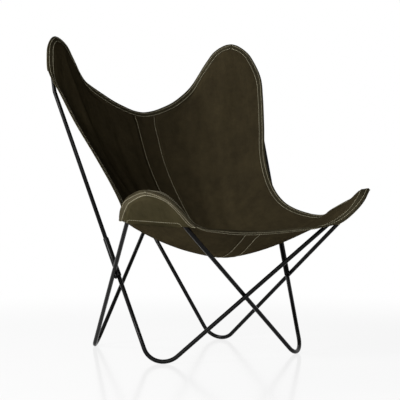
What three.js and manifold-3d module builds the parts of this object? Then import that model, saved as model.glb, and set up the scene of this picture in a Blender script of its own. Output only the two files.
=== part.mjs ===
// Butterfly sling chair: a frame of bent steel rod that carries a canvas sling on four ears.
// Millimetres, +Z up, floor at z = 0, the front of the chair towards -Y.
// Left is -X and right is +X, as seen by someone who stands in front of the chair.
import * as THREE from "three";
import { mergeVertices } from "three/addons/utils/BufferGeometryUtils.js";
import Module from "manifold-3d";

const wasm = await Module();
wasm.setup();

// Rod stock, and the clearance between pieces that touch
const rodDiameter = 12;
const sleeveDiameter = 16;
const fitGap = 0.3;

// Where the straight legs of each bend would meet: half widths, depths and heights
const frontFootX = 248;
const frontFootY = 237;
const rearFootY = 237;
const frontEarX = 385;
const frontEarY = 440;
const frontEarZ = 519;
const rearEarX = 380;
const rearEarY = 380;
const rearEarZ = 1058;

// Bend radii on the rod's centre line
const footBend = 58;
const frontEarBend = 56;
const rearEarBend = 65;
const kneeBend = 40;

// The rear hoops lean forward above their knees
const kneeZ = 760;
const hoopLeanDegrees = 12;

// Sleeves that join the rear hoops to the lower rods, and the weld beads under the crossings
const sleeveLength = 120;
const sideSleeveBelow = 8;
const backSleeveAbove = 32;
const weldDiameter = 11;
const weldStandOff = 3;

// Canvas: body, edge binding and ear pockets
const canvasThick = 2.4;
const bindingThick = 1.2;
const bindingWidth = 16;
const pocketThick = 1.4;
const pocketHem = 14;
const pocketFlange = 3;
const seamRoom = 1.2;

// Height of the canvas over the rods' centre lines, and how softly it rises there
const canvasLift = 12.5;
const liftSoftness = 6;
const liftReachShare = 3.4;

// Half width of the centre band at the back edge and at the front hem
const bandHalfBack = 33;
const bandHalfFront = 22;

// How far a pocket's mouth runs back along the outer leg, as a share of the rim's height off it
const pocketRakeShare = 1.5;

// Rim length that each pocket covers from the top of its ear down its two rods
const rearPocketOuter = 155;
const rearPocketInner = 175;
const frontPocketOuter = 232;
const frontPocketInner = 188;

// Mesh counts
const rodSides = 12;
const sleeveSides = 24;
const beadSides = 14;
const bendStepDegrees = 11;
const panelColumns = 12;
const panelRows = 36;
const pocketTurnSteps = 3;
const curveSteps = 24;
const relaxSweeps = 300;
const relaxFactor = 1.7;
const settleRounds = 80;

// Rim of the canvas round each ear, as shares of the ear's bend radius:
// up the ear, towards its outer leg, and off the hoop's plane towards the sitter
const rearRimShares = [
  [-0.39, 1.64, 0.05],
  [0.32, 1.31, 0.02],
  [0.96, 0.86, 0.05],
  [1.36, 0.1, 0.16],
  [1.0, -0.62, 0.34],
  [0.33, -1.1, 0.38],
  [-0.7, -1.64, 0.5],
];
const rearTipIndex = 3;
const frontRimShares = [
  [-1.59, 2.19, 0.88],
  [-0.93, 1.98, 0.74],
  [0, 1.55, 0.49],
  [0.98, 0.875, 0.15],
  [1.48, 0, 0.05],
  [1.26, -1.17, -0.28],
  [0.65, -1.69, -0.43],
  [-0.45, -2.18, -0.36],
];
const frontTipIndex = 4;

// Free side edge, as shares of the span from the rear ear to the front ear: along, inwards, slack
const sideEdgeShares = [
  [0.125, 0.022, 0.024],
  [0.28, 0.054, 0.064],
  [0.506, 0.108, 0.108],
  [0.727, 0.125, 0.115],
  [0.864, 0.097, 0.085],
];

// Free back edge and front hem, as shares of the half span between two ears: out, down, back
const backEdgeShares = [
  [0.79, 0.17, -0.084],
  [0.463, 0.37, -0.142],
  [0, 0.505, -0.116],
];
const hemEdgeShares = [
  [0.543, 0.062, 0.163],
  [0, 0.095, 0.33],
];

// Middle of the sling from the back edge to the hem, as shares of that span: along and below
const middleShares = [
  [0, 0],
  [0.095, 0.067],
  [0.189, 0.127],
  [0.298, 0.173],
  [0.385, 0.199],
  [0.488, 0.224],
  [0.594, 0.238],
  [0.696, 0.235],
  [0.789, 0.216],
  [0.862, 0.186],
  [0.908, 0.146],
  [0.946, 0.091],
  [0.974, 0.045],
  [1, 0],
];

// How the canvas curves from its middle to its side edges, behind and in front, and where it changes
const backCurveShare = 2;
const seatCurveShare = 1.6;
const curveChangeShares = [0.35, 0.75];

// How the mesh lines crowd towards the ears and the ends
const edgeCrowdShare = 1.25;
const sideCrowdShare = 0.4;
const middleCrowdShare = 0.15;

const rodRadius = rodDiameter / 2;
const sleeveRadius = sleeveDiameter / 2;
const weldRadius = weldDiameter / 2;
const vec = (x, y, z) => new THREE.Vector3(x, y, z);
const minus = (a, b) => a.clone().sub(b);
const along = (from, direction, distance) => from.clone().addScaledVector(direction, distance);
const between = (a, b, share) => a.clone().lerp(b, share);
const towards = (from, to) => minus(to, from).normalize();
const mirrored = (p) => vec(-p.x, p.y, p.z);

// Nearest points of two lines, each given by a point and a unit direction
function nearestPoints(p, u, q, v) {
  const w = minus(p, q);
  const uv = u.dot(v);
  const across = 1 - uv * uv;
  const s = (uv * v.dot(w) - u.dot(w)) / across;
  const t = (v.dot(w) - uv * u.dot(w)) / across;
  return [along(p, u, s), along(q, v, t)];
}

// Nearest points of two rods, each given by the corners at its foot and its ear
function crossing(footA, earA, footB, earB) {
  return nearestPoints(footA, towards(footA, earA), footB, towards(footB, earB));
}

// How far a bend's lowest centre-line point lies above the corner where its legs would meet
function bendRise(corner, endA, endB, radius) {
  const a = towards(corner, endA);
  const b = towards(corner, endB);
  const half = a.angleTo(b) / 2;
  const middle = a.clone().add(b).normalize();
  const side = minus(a, b).normalize();
  return (radius / Math.sin(half)) * middle.z - radius * Math.hypot(middle.z, side.z);
}

// Corners of the whole frame. The feet stand on the floor, and one rod of each crossing pair
// is shifted forward and the other back until they pass with the fit gap between them.
function settleCorners() {
  const ears = {
    frontLeft: vec(-frontEarX, -frontEarY, frontEarZ),
    frontRight: vec(frontEarX, -frontEarY, frontEarZ),
    rearLeft: vec(-rearEarX, rearEarY, rearEarZ),
    rearRight: vec(rearEarX, rearEarY, rearEarZ),
  };
  const feet = {
    frontLeft: vec(-frontFootX, -frontFootY, -footBend / 2),
    frontRight: vec(frontFootX, -frontFootY, -footBend / 2),
    rearLeft: vec(-frontFootX, rearFootY, -footBend / 2),
    rearRight: vec(frontFootX, rearFootY, -footBend / 2),
  };
  const legs = [
    [feet.frontLeft, ears.rearLeft, ears.frontRight],
    [feet.frontRight, ears.rearRight, ears.frontLeft],
    [feet.rearLeft, ears.frontLeft, ears.rearRight],
    [feet.rearRight, ears.frontRight, ears.rearLeft],
  ];
  const shift = { front: rodRadius, rear: rodRadius };
  const rodPitch = rodDiameter + fitGap;
  const sleevePitch = sleeveRadius + rodRadius + fitGap;
  for (let round = 0; round < settleRounds; round++) {
    for (const [foot, earA, earB] of legs) {
      foot.z = rodRadius - bendRise(foot, earA, earB, footBend);
    }
    const front = crossing(feet.frontLeft, ears.frontRight, feet.frontRight, ears.frontLeft);
    const rear = crossing(feet.rearRight, ears.rearLeft, feet.rearLeft, ears.rearRight);
    shift.front += rodPitch - front[0].distanceTo(front[1]);
    shift.rear += rodPitch - rear[0].distanceTo(rear[1]);
    feet.frontLeft.y = -frontFootY - shift.front;
    feet.frontRight.y = -frontFootY + shift.front;
    feet.rearLeft.y = rearFootY + shift.rear;
    feet.rearRight.y = rearFootY - shift.rear;
    const left = crossing(feet.frontLeft, ears.rearLeft, feet.rearLeft, ears.frontLeft);
    const right = crossing(feet.frontRight, ears.rearRight, feet.rearRight, ears.frontRight);
    const leftPitch = Math.sign(left[0].x - left[1].x) * left[0].distanceTo(left[1]);
    const rightPitch = Math.sign(right[1].x - right[0].x) * right[0].distanceTo(right[1]);
    feet.rearLeft.x += leftPitch - sleevePitch;
    feet.rearRight.x -= rightPitch - sleevePitch;
  }
  return { ears, feet };
}

const { ears, feet } = settleCorners();

// Frame of an ear's bend, from its centre: up the ear, out towards its outer leg,
// and off the plane of the rod towards the sitter. The ear lies on the left.
function bendFrame(corner, outerEnd, innerEnd, radius, facing) {
  const outer = towards(corner, outerEnd);
  const inner = towards(corner, innerEnd);
  const half = outer.angleTo(inner) / 2;
  const up = outer.clone().add(inner).normalize().negate();
  const out = minus(outer, inner).normalize();
  const face = up.clone().cross(out).multiplyScalar(facing);
  const centre = along(corner, up, -radius / Math.sin(half));
  return { corner, outerEnd, innerEnd, radius, half, up, out, face, centre };
}

// A rear hoop on the left: its two legs lean forward about the line through their knees
function rearEarFrame(ear, outerFoot, innerFoot) {
  const kneeOn = (foot) => between(ear, foot, (ear.z - kneeZ) / (ear.z - foot.z));
  const kneeOuter = kneeOn(outerFoot);
  const kneeInner = kneeOn(innerFoot);
  const axis = towards(kneeInner, kneeOuter);
  const lean = -THREE.MathUtils.degToRad(hoopLeanDegrees);
  const outer = towards(outerFoot, ear).applyAxisAngle(axis, lean);
  const inner = towards(innerFoot, ear).applyAxisAngle(axis, lean);
  const [top] = nearestPoints(kneeOuter, outer, kneeInner, inner);
  return bendFrame(top, kneeOuter, kneeInner, rearEarBend, 1);
}

// A front ear on the left
function frontEarFrame(ear, outerFoot, innerFoot) {
  return bendFrame(ear, outerFoot, innerFoot, frontEarBend, -1);
}

// The frame's corners of one side, laid out as the left side
function sideCorners(isLeft) {
  if (isLeft) {
    return {
      frontEar: ears.frontLeft,
      rearEar: ears.rearLeft,
      frontFoot: feet.frontLeft,
      rearFoot: feet.rearLeft,
      farFrontFoot: feet.frontRight,
      farRearFoot: feet.rearRight,
    };
  }
  return {
    frontEar: mirrored(ears.frontRight),
    rearEar: mirrored(ears.rearRight),
    frontFoot: mirrored(feet.frontRight),
    rearFoot: mirrored(feet.rearRight),
    farFrontFoot: mirrored(feet.frontLeft),
    farRearFoot: mirrored(feet.rearLeft),
  };
}

// The same corners with both sides averaged, which the canvas follows
function evenCorners() {
  const left = sideCorners(true);
  const right = sideCorners(false);
  const even = {};
  for (const name of Object.keys(left)) {
    even[name] = between(left[name], right[name], 1 / 2);
  }
  return even;
}

function earFrames(corners) {
  return {
    rear: rearEarFrame(corners.rearEar, corners.frontFoot, corners.farRearFoot),
    front: frontEarFrame(corners.frontEar, corners.rearFoot, corners.farFrontFoot),
  };
}

// A path through given stations, each a point and its direction
class StationPath extends THREE.Curve {
  constructor(stations) {
    super();
    this.stations = stations;
  }

  station(t) {
    return this.stations[Math.round(t * (this.stations.length - 1))];
  }

  getPoint(t) {
    return this.station(t).point.clone();
  }

  getTangent(t) {
    return this.station(t).direction.clone();
  }

  getUtoTmapping(u) {
    return u;
  }
}

// Stations of a rod that runs straight from point to point and bends at each inner point
function bentStations(points, radii) {
  const last = points.length - 1;
  const stations = [{ point: points[0], direction: towards(points[0], points[1]) }];
  radii.forEach((radius, k) => {
    const corner = points[k + 1];
    const before = towards(corner, points[k]);
    const after = towards(corner, points[k + 2]);
    const half = before.angleTo(after) / 2;
    const inwards = before.clone().add(after).normalize();
    const forwards = minus(after, before).normalize();
    const centre = along(corner, inwards, radius / Math.sin(half));
    const turn = Math.PI - 2 * half;
    const steps = 2 * Math.ceil(turn / 2 / THREE.MathUtils.degToRad(bendStepDegrees));
    for (let step = 0; step <= steps; step++) {
      const angle = turn * (step / steps - 1 / 2);
      const spoke = inwards.clone().multiplyScalar(-Math.cos(angle));
      spoke.addScaledVector(forwards, Math.sin(angle));
      const direction = inwards.clone().multiplyScalar(Math.sin(angle));
      direction.addScaledVector(forwards, Math.cos(angle));
      stations.push({ point: along(centre, spoke, radius), direction });
    }
  });
  stations.push({ point: points[last], direction: towards(points[last - 1], points[last]) });
  return stations;
}

// Round rod along bent stations
function rodGeometry(points, radii) {
  const stations = bentStations(points, radii);
  const corners = [];
  for (let k = 0; k < rodSides; k++) {
    const angle = (2 * Math.PI * k) / rodSides;
    corners.push(new THREE.Vector2(rodRadius * Math.cos(angle), rodRadius * Math.sin(angle)));
  }
  return new THREE.ExtrudeGeometry(new THREE.Shape(corners), {
    extrudePath: new StationPath(stations),
    steps: stations.length - 1,
    bevelEnabled: false,
  });
}

// Turns a geometry that stands along +Y at the origin so that it lies along a direction
function aimed(geometry, middle, direction) {
  geometry.applyQuaternion(new THREE.Quaternion().setFromUnitVectors(vec(0, 1, 0), direction));
  return geometry.translate(middle.x, middle.y, middle.z);
}

// A tube with a bore that slides over the rod
function sleeveGeometry(middle, direction) {
  const bore = rodRadius + fitGap;
  const reach = sleeveLength / 2;
  const profile = [
    new THREE.Vector2(bore, -reach),
    new THREE.Vector2(sleeveRadius, -reach),
    new THREE.Vector2(sleeveRadius, reach),
    new THREE.Vector2(bore, reach),
    new THREE.Vector2(bore, -reach),
  ];
  return aimed(new THREE.LatheGeometry(profile, sleeveSides), middle, direction);
}

// A closed geometry as a solid for joins and cuts
function solidOf(geometry) {
  const bare = geometry.clone();
  bare.deleteAttribute("normal");
  bare.deleteAttribute("uv");
  const merged = mergeVertices(bare);
  return new wasm.Manifold(
    new wasm.Mesh({
      numProp: 3,
      vertProperties: merged.attributes.position.array,
      triVerts: new Uint32Array(merged.index.array),
    }),
  );
}

function geometryOf(solid) {
  const mesh = solid.getMesh();
  const geometry = new THREE.BufferGeometry();
  geometry.setAttribute("position", new THREE.BufferAttribute(mesh.vertProperties, mesh.numProp));
  geometry.setIndex(new THREE.BufferAttribute(mesh.triVerts, 1));
  geometry.computeVertexNormals();
  return geometry;
}

// A weld bead that fills the lower corner between two rods, cut clear of both.
// sleeve gives the middle and direction of a sleeve to clear, where one is near.
function weldGeometry(footA, earA, footB, earB, sleeve) {
  const [onA, onB] = crossing(footA, earA, footB, earB);
  const a = towards(footA, earA);
  const b = towards(footB, earB);
  const middle = between(onA, onB, 1 / 2);
  const down = a.clone().add(b).normalize().negate();
  const half = a.angleTo(b) / 2;
  const apart = onA.distanceTo(onB) / 2;
  const drop = Math.sqrt((rodRadius + weldStandOff) ** 2 - apart ** 2) / Math.sin(half);
  const centre = along(middle, down, drop);
  const bead = new THREE.SphereGeometry(weldRadius, beadSides, beadSides / 2);
  bead.translate(centre.x, centre.y, centre.z);
  const clearBar = (radius, length, at, direction) => {
    const bar = new THREE.CylinderGeometry(radius + fitGap, radius + fitGap, length, sleeveSides);
    return solidOf(aimed(bar, at, direction));
  };
  let solid = solidOf(bead);
  solid = solid.subtract(clearBar(rodRadius, sleeveLength, onA, a));
  solid = solid.subtract(clearBar(rodRadius, sleeveLength, onB, b));
  if (sleeve) {
    solid = solid.subtract(
      clearBar(sleeveRadius, sleeveLength + 2 * fitGap, sleeve.middle, sleeve.direction),
    );
  }
  return geometryOf(solid);
}

// A smooth curve through points that are mirrored past both ends, as a fine polyline
function smoothLine(points, mirrorEnds) {
  const first = mirrorEnds ? mirrored(points[1]) : along(points[0], minus(points[1], points[0]), -1);
  const count = points.length;
  const tail = minus(points[count - 2], points[count - 1]);
  const last = mirrorEnds ? mirrored(points[count - 2]) : along(points[count - 1], tail, -1);
  const all = [first, ...points, last];
  const line = [];
  const knots = [];
  for (let k = 1; k < all.length - 2; k++) {
    const [p0, p1, p2, p3] = all.slice(k - 1, k + 3);
    const span01 = Math.sqrt(p0.distanceTo(p1));
    const span12 = Math.sqrt(p1.distanceTo(p2));
    const span23 = Math.sqrt(p2.distanceTo(p3));
    const rate = (a, b, span) => minus(b, a).divideScalar(span);
    const start = rate(p0, p1, span01);
    start.sub(rate(p0, p2, span01 + span12)).add(rate(p1, p2, span12)).multiplyScalar(span12);
    const end = rate(p1, p2, span12);
    end.sub(rate(p1, p3, span12 + span23)).add(rate(p2, p3, span23)).multiplyScalar(span12);
    knots.push(line.length);
    for (let step = 0; step < curveSteps; step++) {
      const t = step / curveSteps;
      const point = p1.clone().multiplyScalar(2 * t ** 3 - 3 * t ** 2 + 1);
      point.addScaledVector(start, t ** 3 - 2 * t ** 2 + t);
      point.addScaledVector(p2, -2 * t ** 3 + 3 * t ** 2);
      point.addScaledVector(end, t ** 3 - t ** 2);
      line.push(point);
    }
  }
  knots.push(line.length);
  line.push(all[all.length - 2].clone());
  return { line, knots };
}

// Length of a polyline up to each of its points
function runningLengths(line) {
  const lengths = [0];
  for (let k = 1; k < line.length; k++) {
    lengths.push(lengths[k - 1] + line[k].distanceTo(line[k - 1]));
  }
  return lengths;
}

// Point of a polyline at a length from its start
function pointAtLength(line, lengths, length) {
  let k = 1;
  while (k < line.length - 1 && lengths[k] < length) {
    k++;
  }
  const share = (length - lengths[k - 1]) / (lengths[k] - lengths[k - 1]);
  return between(line[k - 1], line[k], Math.min(share, 1));
}

// Rim of the left half of the sling, in three runs that start at the ears' tips
function rimRuns(frames) {
  const inFrame = (frame, shares) => {
    const [up, out, off] = shares.map((share) => share * frame.radius);
    return along(along(along(frame.centre, frame.up, up), frame.out, out), frame.face, off);
  };
  const rearRim = rearRimShares.map((shares) => inFrame(frames.rear, shares));
  const frontRim = frontRimShares.map((shares) => inFrame(frames.front, shares));
  const freeEdge = (mouth, shares) => shares.map(([out, down, back]) => {
    const half = -mouth.x;
    return vec(mouth.x * out, mouth.y + half * back, mouth.z - half * down);
  });
  const backEdge = freeEdge(rearRim[rearRim.length - 1], backEdgeShares);
  const hemEdge = freeEdge(frontRim[frontRim.length - 1], hemEdgeShares);
  const chord = minus(frontRim[0], rearRim[0]);
  const span = chord.length();
  const slack = vec(0, chord.z, -chord.y).normalize();
  slack.multiplyScalar(-Math.sign(slack.z));
  const sideEdge = sideEdgeShares.map(([share, inward, sag]) => {
    const point = along(rearRim[0], chord, share);
    return along(point.add(vec(inward * span, 0, 0)), slack, sag * span);
  });
  const knotsBefore = backEdge.length + rearRim.length - 1 - rearTipIndex;
  const knotsBetween = rearTipIndex + sideEdge.length + 1 + frontTipIndex;
  const points = [
    ...backEdge.reverse(), ...rearRim.reverse(), ...sideEdge, ...frontRim, ...hemEdge,
  ];
  const { line, knots } = smoothLine(points, true);
  const rearTip = knots[knotsBefore];
  const frontTip = knots[knotsBefore + knotsBetween];
  return {
    back: line.slice(0, rearTip + 1).reverse(),
    side: line.slice(rearTip, frontTip + 1),
    hem: line.slice(frontTip),
  };
}

// Nodes along the back edge or the hem, from an ear's tip to the seam, and one in the middle
function crossNodes(run, seamX) {
  const lengths = runningLengths(run);
  let k = 1;
  while (-run[k].x > seamX) {
    k++;
  }
  const share = (-run[k - 1].x - seamX) / (run[k].x - run[k - 1].x);
  const seamLength = lengths[k - 1] + share * (lengths[k] - lengths[k - 1]);
  const nodes = [];
  for (let column = 0; column <= panelColumns; column++) {
    const crowd = (column / panelColumns) ** edgeCrowdShare;
    nodes.push(pointAtLength(run, lengths, crowd * seamLength));
  }
  nodes[panelColumns].x = -seamX;
  nodes.push(run[run.length - 1].clone());
  return nodes;
}

// Nodes along a run with the mesh lines crowded towards both ends
function evenNodes(run, crowdShare) {
  const lengths = runningLengths(run);
  const whole = lengths[lengths.length - 1];
  const nodes = [];
  for (let row = 0; row <= panelRows; row++) {
    const t = row / panelRows;
    const crowd = t - (crowdShare * Math.sin(2 * Math.PI * t)) / (2 * Math.PI);
    nodes.push(pointAtLength(run, lengths, crowd * whole));
  }
  return nodes;
}

// Nodes down the middle of the sling from the back edge to the hem
function middleNodes(top, bottom) {
  const chord = minus(bottom, top);
  const below = vec(0, -chord.z, chord.y);
  const points = middleShares.map(([share, sag]) => along(along(top, chord, share), below, sag));
  return evenNodes(smoothLine(points, false).line, middleCrowdShare);
}

// Eases from 0 to 1 between two values
function easeBetween(value, low, high) {
  return THREE.MathUtils.smoothstep(value, low, high);
}

// Left half of the sling's middle surface as columns of nodes, from the side edge to the middle
function slingColumns(frames) {
  const runs = rimRuns(frames);
  const back = crossNodes(runs.back, bandHalfBack);
  const hem = crossNodes(runs.hem, bandHalfFront);
  const side = evenNodes(runs.side, sideCrowdShare);
  const middle = middleNodes(back[back.length - 1], hem[hem.length - 1]);
  const columns = [];
  for (let column = 0; column <= panelColumns + 1; column++) {
    const outShare = Math.max(0, (panelColumns - column) / panelColumns);
    const nodes = [];
    for (let row = 0; row <= panelRows; row++) {
      const down = row / panelRows;
      const seamX = THREE.MathUtils.lerp(bandHalfBack, bandHalfFront, down);
      const edge = side[row];
      const x = column > panelColumns ? 0 : THREE.MathUtils.lerp(seamX, -edge.x, outShare);
      const change = easeBetween(down, ...curveChangeShares);
      const curve = THREE.MathUtils.lerp(backCurveShare, seatCurveShare, change);
      const node = between(middle[row], edge, (-x / edge.x) ** curve);
      node.x = -x;
      nodes.push(node);
    }
    columns.push(nodes);
  }
  fitToRim(columns, back, hem, side);
  return columns;
}

// Moves the surface so that its edges meet the rim, spreading the change evenly over the panel
function fitToRim(columns, back, hem, side) {
  const moves = columns.map((nodes) => nodes.map(() => vec(0, 0, 0)));
  for (let column = 0; column < columns.length; column++) {
    moves[column][0] = minus(back[column], columns[column][0]);
    moves[column][panelRows] = minus(hem[column], columns[column][panelRows]);
  }
  for (let row = 1; row < panelRows; row++) {
    moves[0][row] = minus(side[row], columns[0][row]);
  }
  for (let sweep = 0; sweep < relaxSweeps; sweep++) {
    for (let column = 1; column < panelColumns; column++) {
      for (let row = 1; row < panelRows; row++) {
        const mean = moves[column - 1][row].clone().add(moves[column + 1][row]);
        mean.add(moves[column][row - 1]).add(moves[column][row + 1]).divideScalar(4);
        moves[column][row].lerp(mean, relaxFactor);
      }
    }
  }
  columns.forEach((nodes, column) => nodes.forEach((node, row) => node.add(moves[column][row])));
}

// Place of a point on an ear: the nearest point of the rod's centre line in the ear's plane,
// the direction away from it in that plane, and the distances outside and off the plane.
// On the outer leg, the nearest point runs back towards the ear by a share of the latter.
function placeOnEar(frame, point, rakeShare = 0) {
  const from = minus(point, frame.centre);
  const up = from.dot(frame.up);
  const out = from.dot(frame.out);
  const side = Math.sign(out) || 1;
  let away = new THREE.Vector2(Math.sin(frame.half), side * Math.cos(frame.half));
  const leg = new THREE.Vector2(-Math.cos(frame.half), side * Math.sin(frame.half));
  const flat = new THREE.Vector2(up, out);
  const near = away.clone().multiplyScalar(frame.radius);
  const downLeg = flat.clone().sub(near).dot(leg);
  if (downLeg <= 0) {
    away = flat.clone().normalize();
    near.copy(away).multiplyScalar(frame.radius);
  }
  const outside = flat.clone().sub(near).dot(away);
  const off = from.dot(frame.face);
  const rake = side > 0 ? rakeShare * Math.abs(off) : 0;
  near.addScaledVector(leg, Math.max(0, downLeg - rake));
  return { near, away, outside, off };
}

// Raises the canvas inside the rim so that it lies over the rods of both ears
function liftOverEars(columns, frames) {
  const reach = liftReachShare * canvasLift;
  for (const nodes of columns.slice(1)) {
    for (let row = 1; row < panelRows; row++) {
      const frame = row < panelRows / 2 ? frames.rear : frames.front;
      const { outside, off } = placeOnEar(frame, nodes[row]);
      const short = canvasLift + liftSoftness - off;
      if (outside > reach || short < 0) {
        continue;
      }
      const isDeep = short > 2 * liftSoftness;
      const whole = isDeep ? canvasLift - off : short ** 2 / (4 * liftSoftness);
      const lift = whole * (1 - easeBetween(outside, rodDiameter, reach));
      nodes[row].addScaledVector(frame.face, lift);
    }
  }
}

// Moves the first line of nodes inside the rim to the inner edge of the binding
function squareBinding(columns) {
  const last = panelRows;
  const place = (column, row, edge, deeper, before, after) => {
    const tangent = towards(before, after);
    const inwards = minus(deeper, edge);
    inwards.addScaledVector(tangent, -inwards.dot(tangent)).normalize();
    columns[column][row] = along(edge, inwards, bindingWidth);
  };
  const beyond = columns.concat([columns[panelColumns].map(mirrored)]);
  for (let column = 2; column <= panelColumns + 1; column++) {
    const [before, here, after] = beyond.slice(column - 1, column + 2);
    place(column, 1, here[0], here[2], before[0], after[0]);
    place(column, last - 1, here[last], here[last - 2], before[last], after[last]);
  }
  for (let row = 2; row < last - 1; row++) {
    const edge = columns[0];
    place(1, row, edge[row], columns[2][row], edge[row - 1], edge[row + 1]);
  }
  const [edge, , deeper] = columns;
  place(1, 1, edge[0], deeper[2], edge[1], columns[1][0]);
  place(1, last - 1, edge[last], deeper[last - 2], edge[last - 1], columns[1][last]);
}

// Whether a mesh square is split from its corner nearest the left rear ear to the opposite one
function splitsDownRight(column, row) {
  const onLeft = column <= panelColumns;
  const behind = row < panelRows / 2;
  return onLeft === behind;
}

// Whole middle surface of the sling: nodes in columns from left to right, and their normals,
// which point towards the sitter
function slingSurface() {
  const frames = earFrames(evenCorners());
  const left = slingColumns(frames);
  liftOverEars(left, frames);
  squareBinding(left);
  liftOverEars(left, frames);
  const right = left.slice(0, panelColumns + 1).reverse().map((nodes) => nodes.map(mirrored));
  const nodes = [...left, ...right];
  const flat = nodes.flat();
  const index = [];
  const stride = panelRows + 1;
  for (let column = 0; column < nodes.length - 1; column++) {
    for (let row = 0; row < panelRows; row++) {
      const here = column * stride + row;
      index.push(...splitSquare(here, here + stride, splitsDownRight(column, row)));
    }
  }
  const geometry = new THREE.BufferGeometry().setFromPoints(flat).setIndex(index);
  geometry.computeVertexNormals();
  const normal = geometry.attributes.normal;
  const normals = nodes.map((line, column) => line.map((node, row) => {
    return new THREE.Vector3().fromBufferAttribute(normal, column * stride + row).negate();
  }));
  return { nodes, normals };
}

// Two triangles of a mesh square whose corners are here, next, here + 1 and next + 1
function splitSquare(here, next, downRight) {
  if (downRight) {
    return [here, next, next + 1, here, next + 1, here + 1];
  }
  return [here, next, here + 1, next, next + 1, here + 1];
}

const sling = slingSurface();

// A closed geometry from points and triangles, turned so that its faces point out
function closedGeometry(points, index) {
  let volume = 0;
  for (let k = 0; k < index.length; k += 3) {
    const [a, b, c] = index.slice(k, k + 3).map((at) => points[at]);
    volume += a.dot(b.clone().cross(c));
  }
  const turned = volume < 0 ? [...index].reverse() : index;
  const geometry = new THREE.BufferGeometry().setFromPoints(points).setIndex(turned);
  geometry.computeVertexNormals();
  return geometry;
}

// A closed sheet between two layers of nodes in columns
function sheetGeometry(front, back, downRight) {
  const stride = front[0].length;
  const count = front.length * stride;
  const points = [...front.flat(), ...back.flat()];
  const index = [];
  const wall = (a, b) => index.push(a, b, a + count, b, b + count, a + count);
  for (let column = 0; column < front.length - 1; column++) {
    for (let row = 0; row < stride - 1; row++) {
      const here = column * stride + row;
      const faces = splitSquare(here, here + stride, downRight(column, row));
      index.push(...faces);
      index.push(...faces.map((at) => at + count).reverse());
    }
    wall(column * stride + stride, column * stride);
    wall(column * stride + stride - 1, (column + 1) * stride + stride - 1);
  }
  for (let row = 0; row < stride - 1; row++) {
    wall(row, row + 1);
    wall((front.length - 1) * stride + row + 1, (front.length - 1) * stride + row);
  }
  return closedGeometry(points, index);
}

// One canvas panel between two columns of the sling, with half the fit gap left at each seam
function panelGeometry(firstColumn, lastColumn) {
  const insetAt = (column) => {
    const isSeam = column === panelColumns || column === panelColumns + 2;
    const inwards = column === firstColumn ? fitGap / 2 : -fitGap / 2;
    return isSeam ? inwards : 0;
  };
  const layer = (side) => {
    const columns = [];
    for (let column = firstColumn; column <= lastColumn; column++) {
      columns.push(sling.nodes[column].map((node, row) => {
        const point = along(node, sling.normals[column][row], (side * canvasThick) / 2);
        point.x += insetAt(column);
        return point;
      }));
    }
    return columns;
  };
  const split = (column, row) => splitsDownRight(column + firstColumn, row);
  return sheetGeometry(layer(1), layer(-1), split);
}

// Stations along an edge of the sling: the rim node, the node at the binding's inner edge,
// their normals, and the directions out of the sling and along the edge
function edgeStations(rimAt, ringAt, count) {
  const node = ([column, row]) => sling.nodes[column][row];
  const normal = ([column, row]) => sling.normals[column][row];
  const stations = [];
  for (let k = 0; k <= count; k++) {
    stations.push({
      rim: node(rimAt(k)),
      ring: node(ringAt(k)),
      rimNormal: normal(rimAt(k)),
      ringNormal: normal(ringAt(k)),
    });
  }
  stations.forEach((station, k) => {
    const before = stations[Math.max(k - 1, 0)].rim;
    const after = stations[Math.min(k + 1, count)].rim;
    station.forwards = towards(before, after);
    station.outwards = station.forwards.clone().cross(station.rimNormal).normalize();
    const isOut = station.outwards.dot(minus(station.rim, station.ring)) > 0;
    station.outwards.multiplyScalar(isOut ? 1 : -1);
  });
  return stations;
}

// Keeps a column or row of the ring inside the corners of the sling
const lastColumn = sling.nodes.length - 1;
const insideColumn = (column) => THREE.MathUtils.clamp(column, 1, lastColumn - 1);
const insideRow = (row) => THREE.MathUtils.clamp(row, 1, panelRows - 1);

const backStations = () => edgeStations((k) => [k, 0], (k) => [insideColumn(k), 1], lastColumn);
const hemStations = () => {
  return edgeStations((k) => [k, panelRows], (k) => [insideColumn(k), panelRows - 1], lastColumn);
};
const leftStations = () => edgeStations((k) => [0, k], (k) => [1, insideRow(k)], panelRows);

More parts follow.
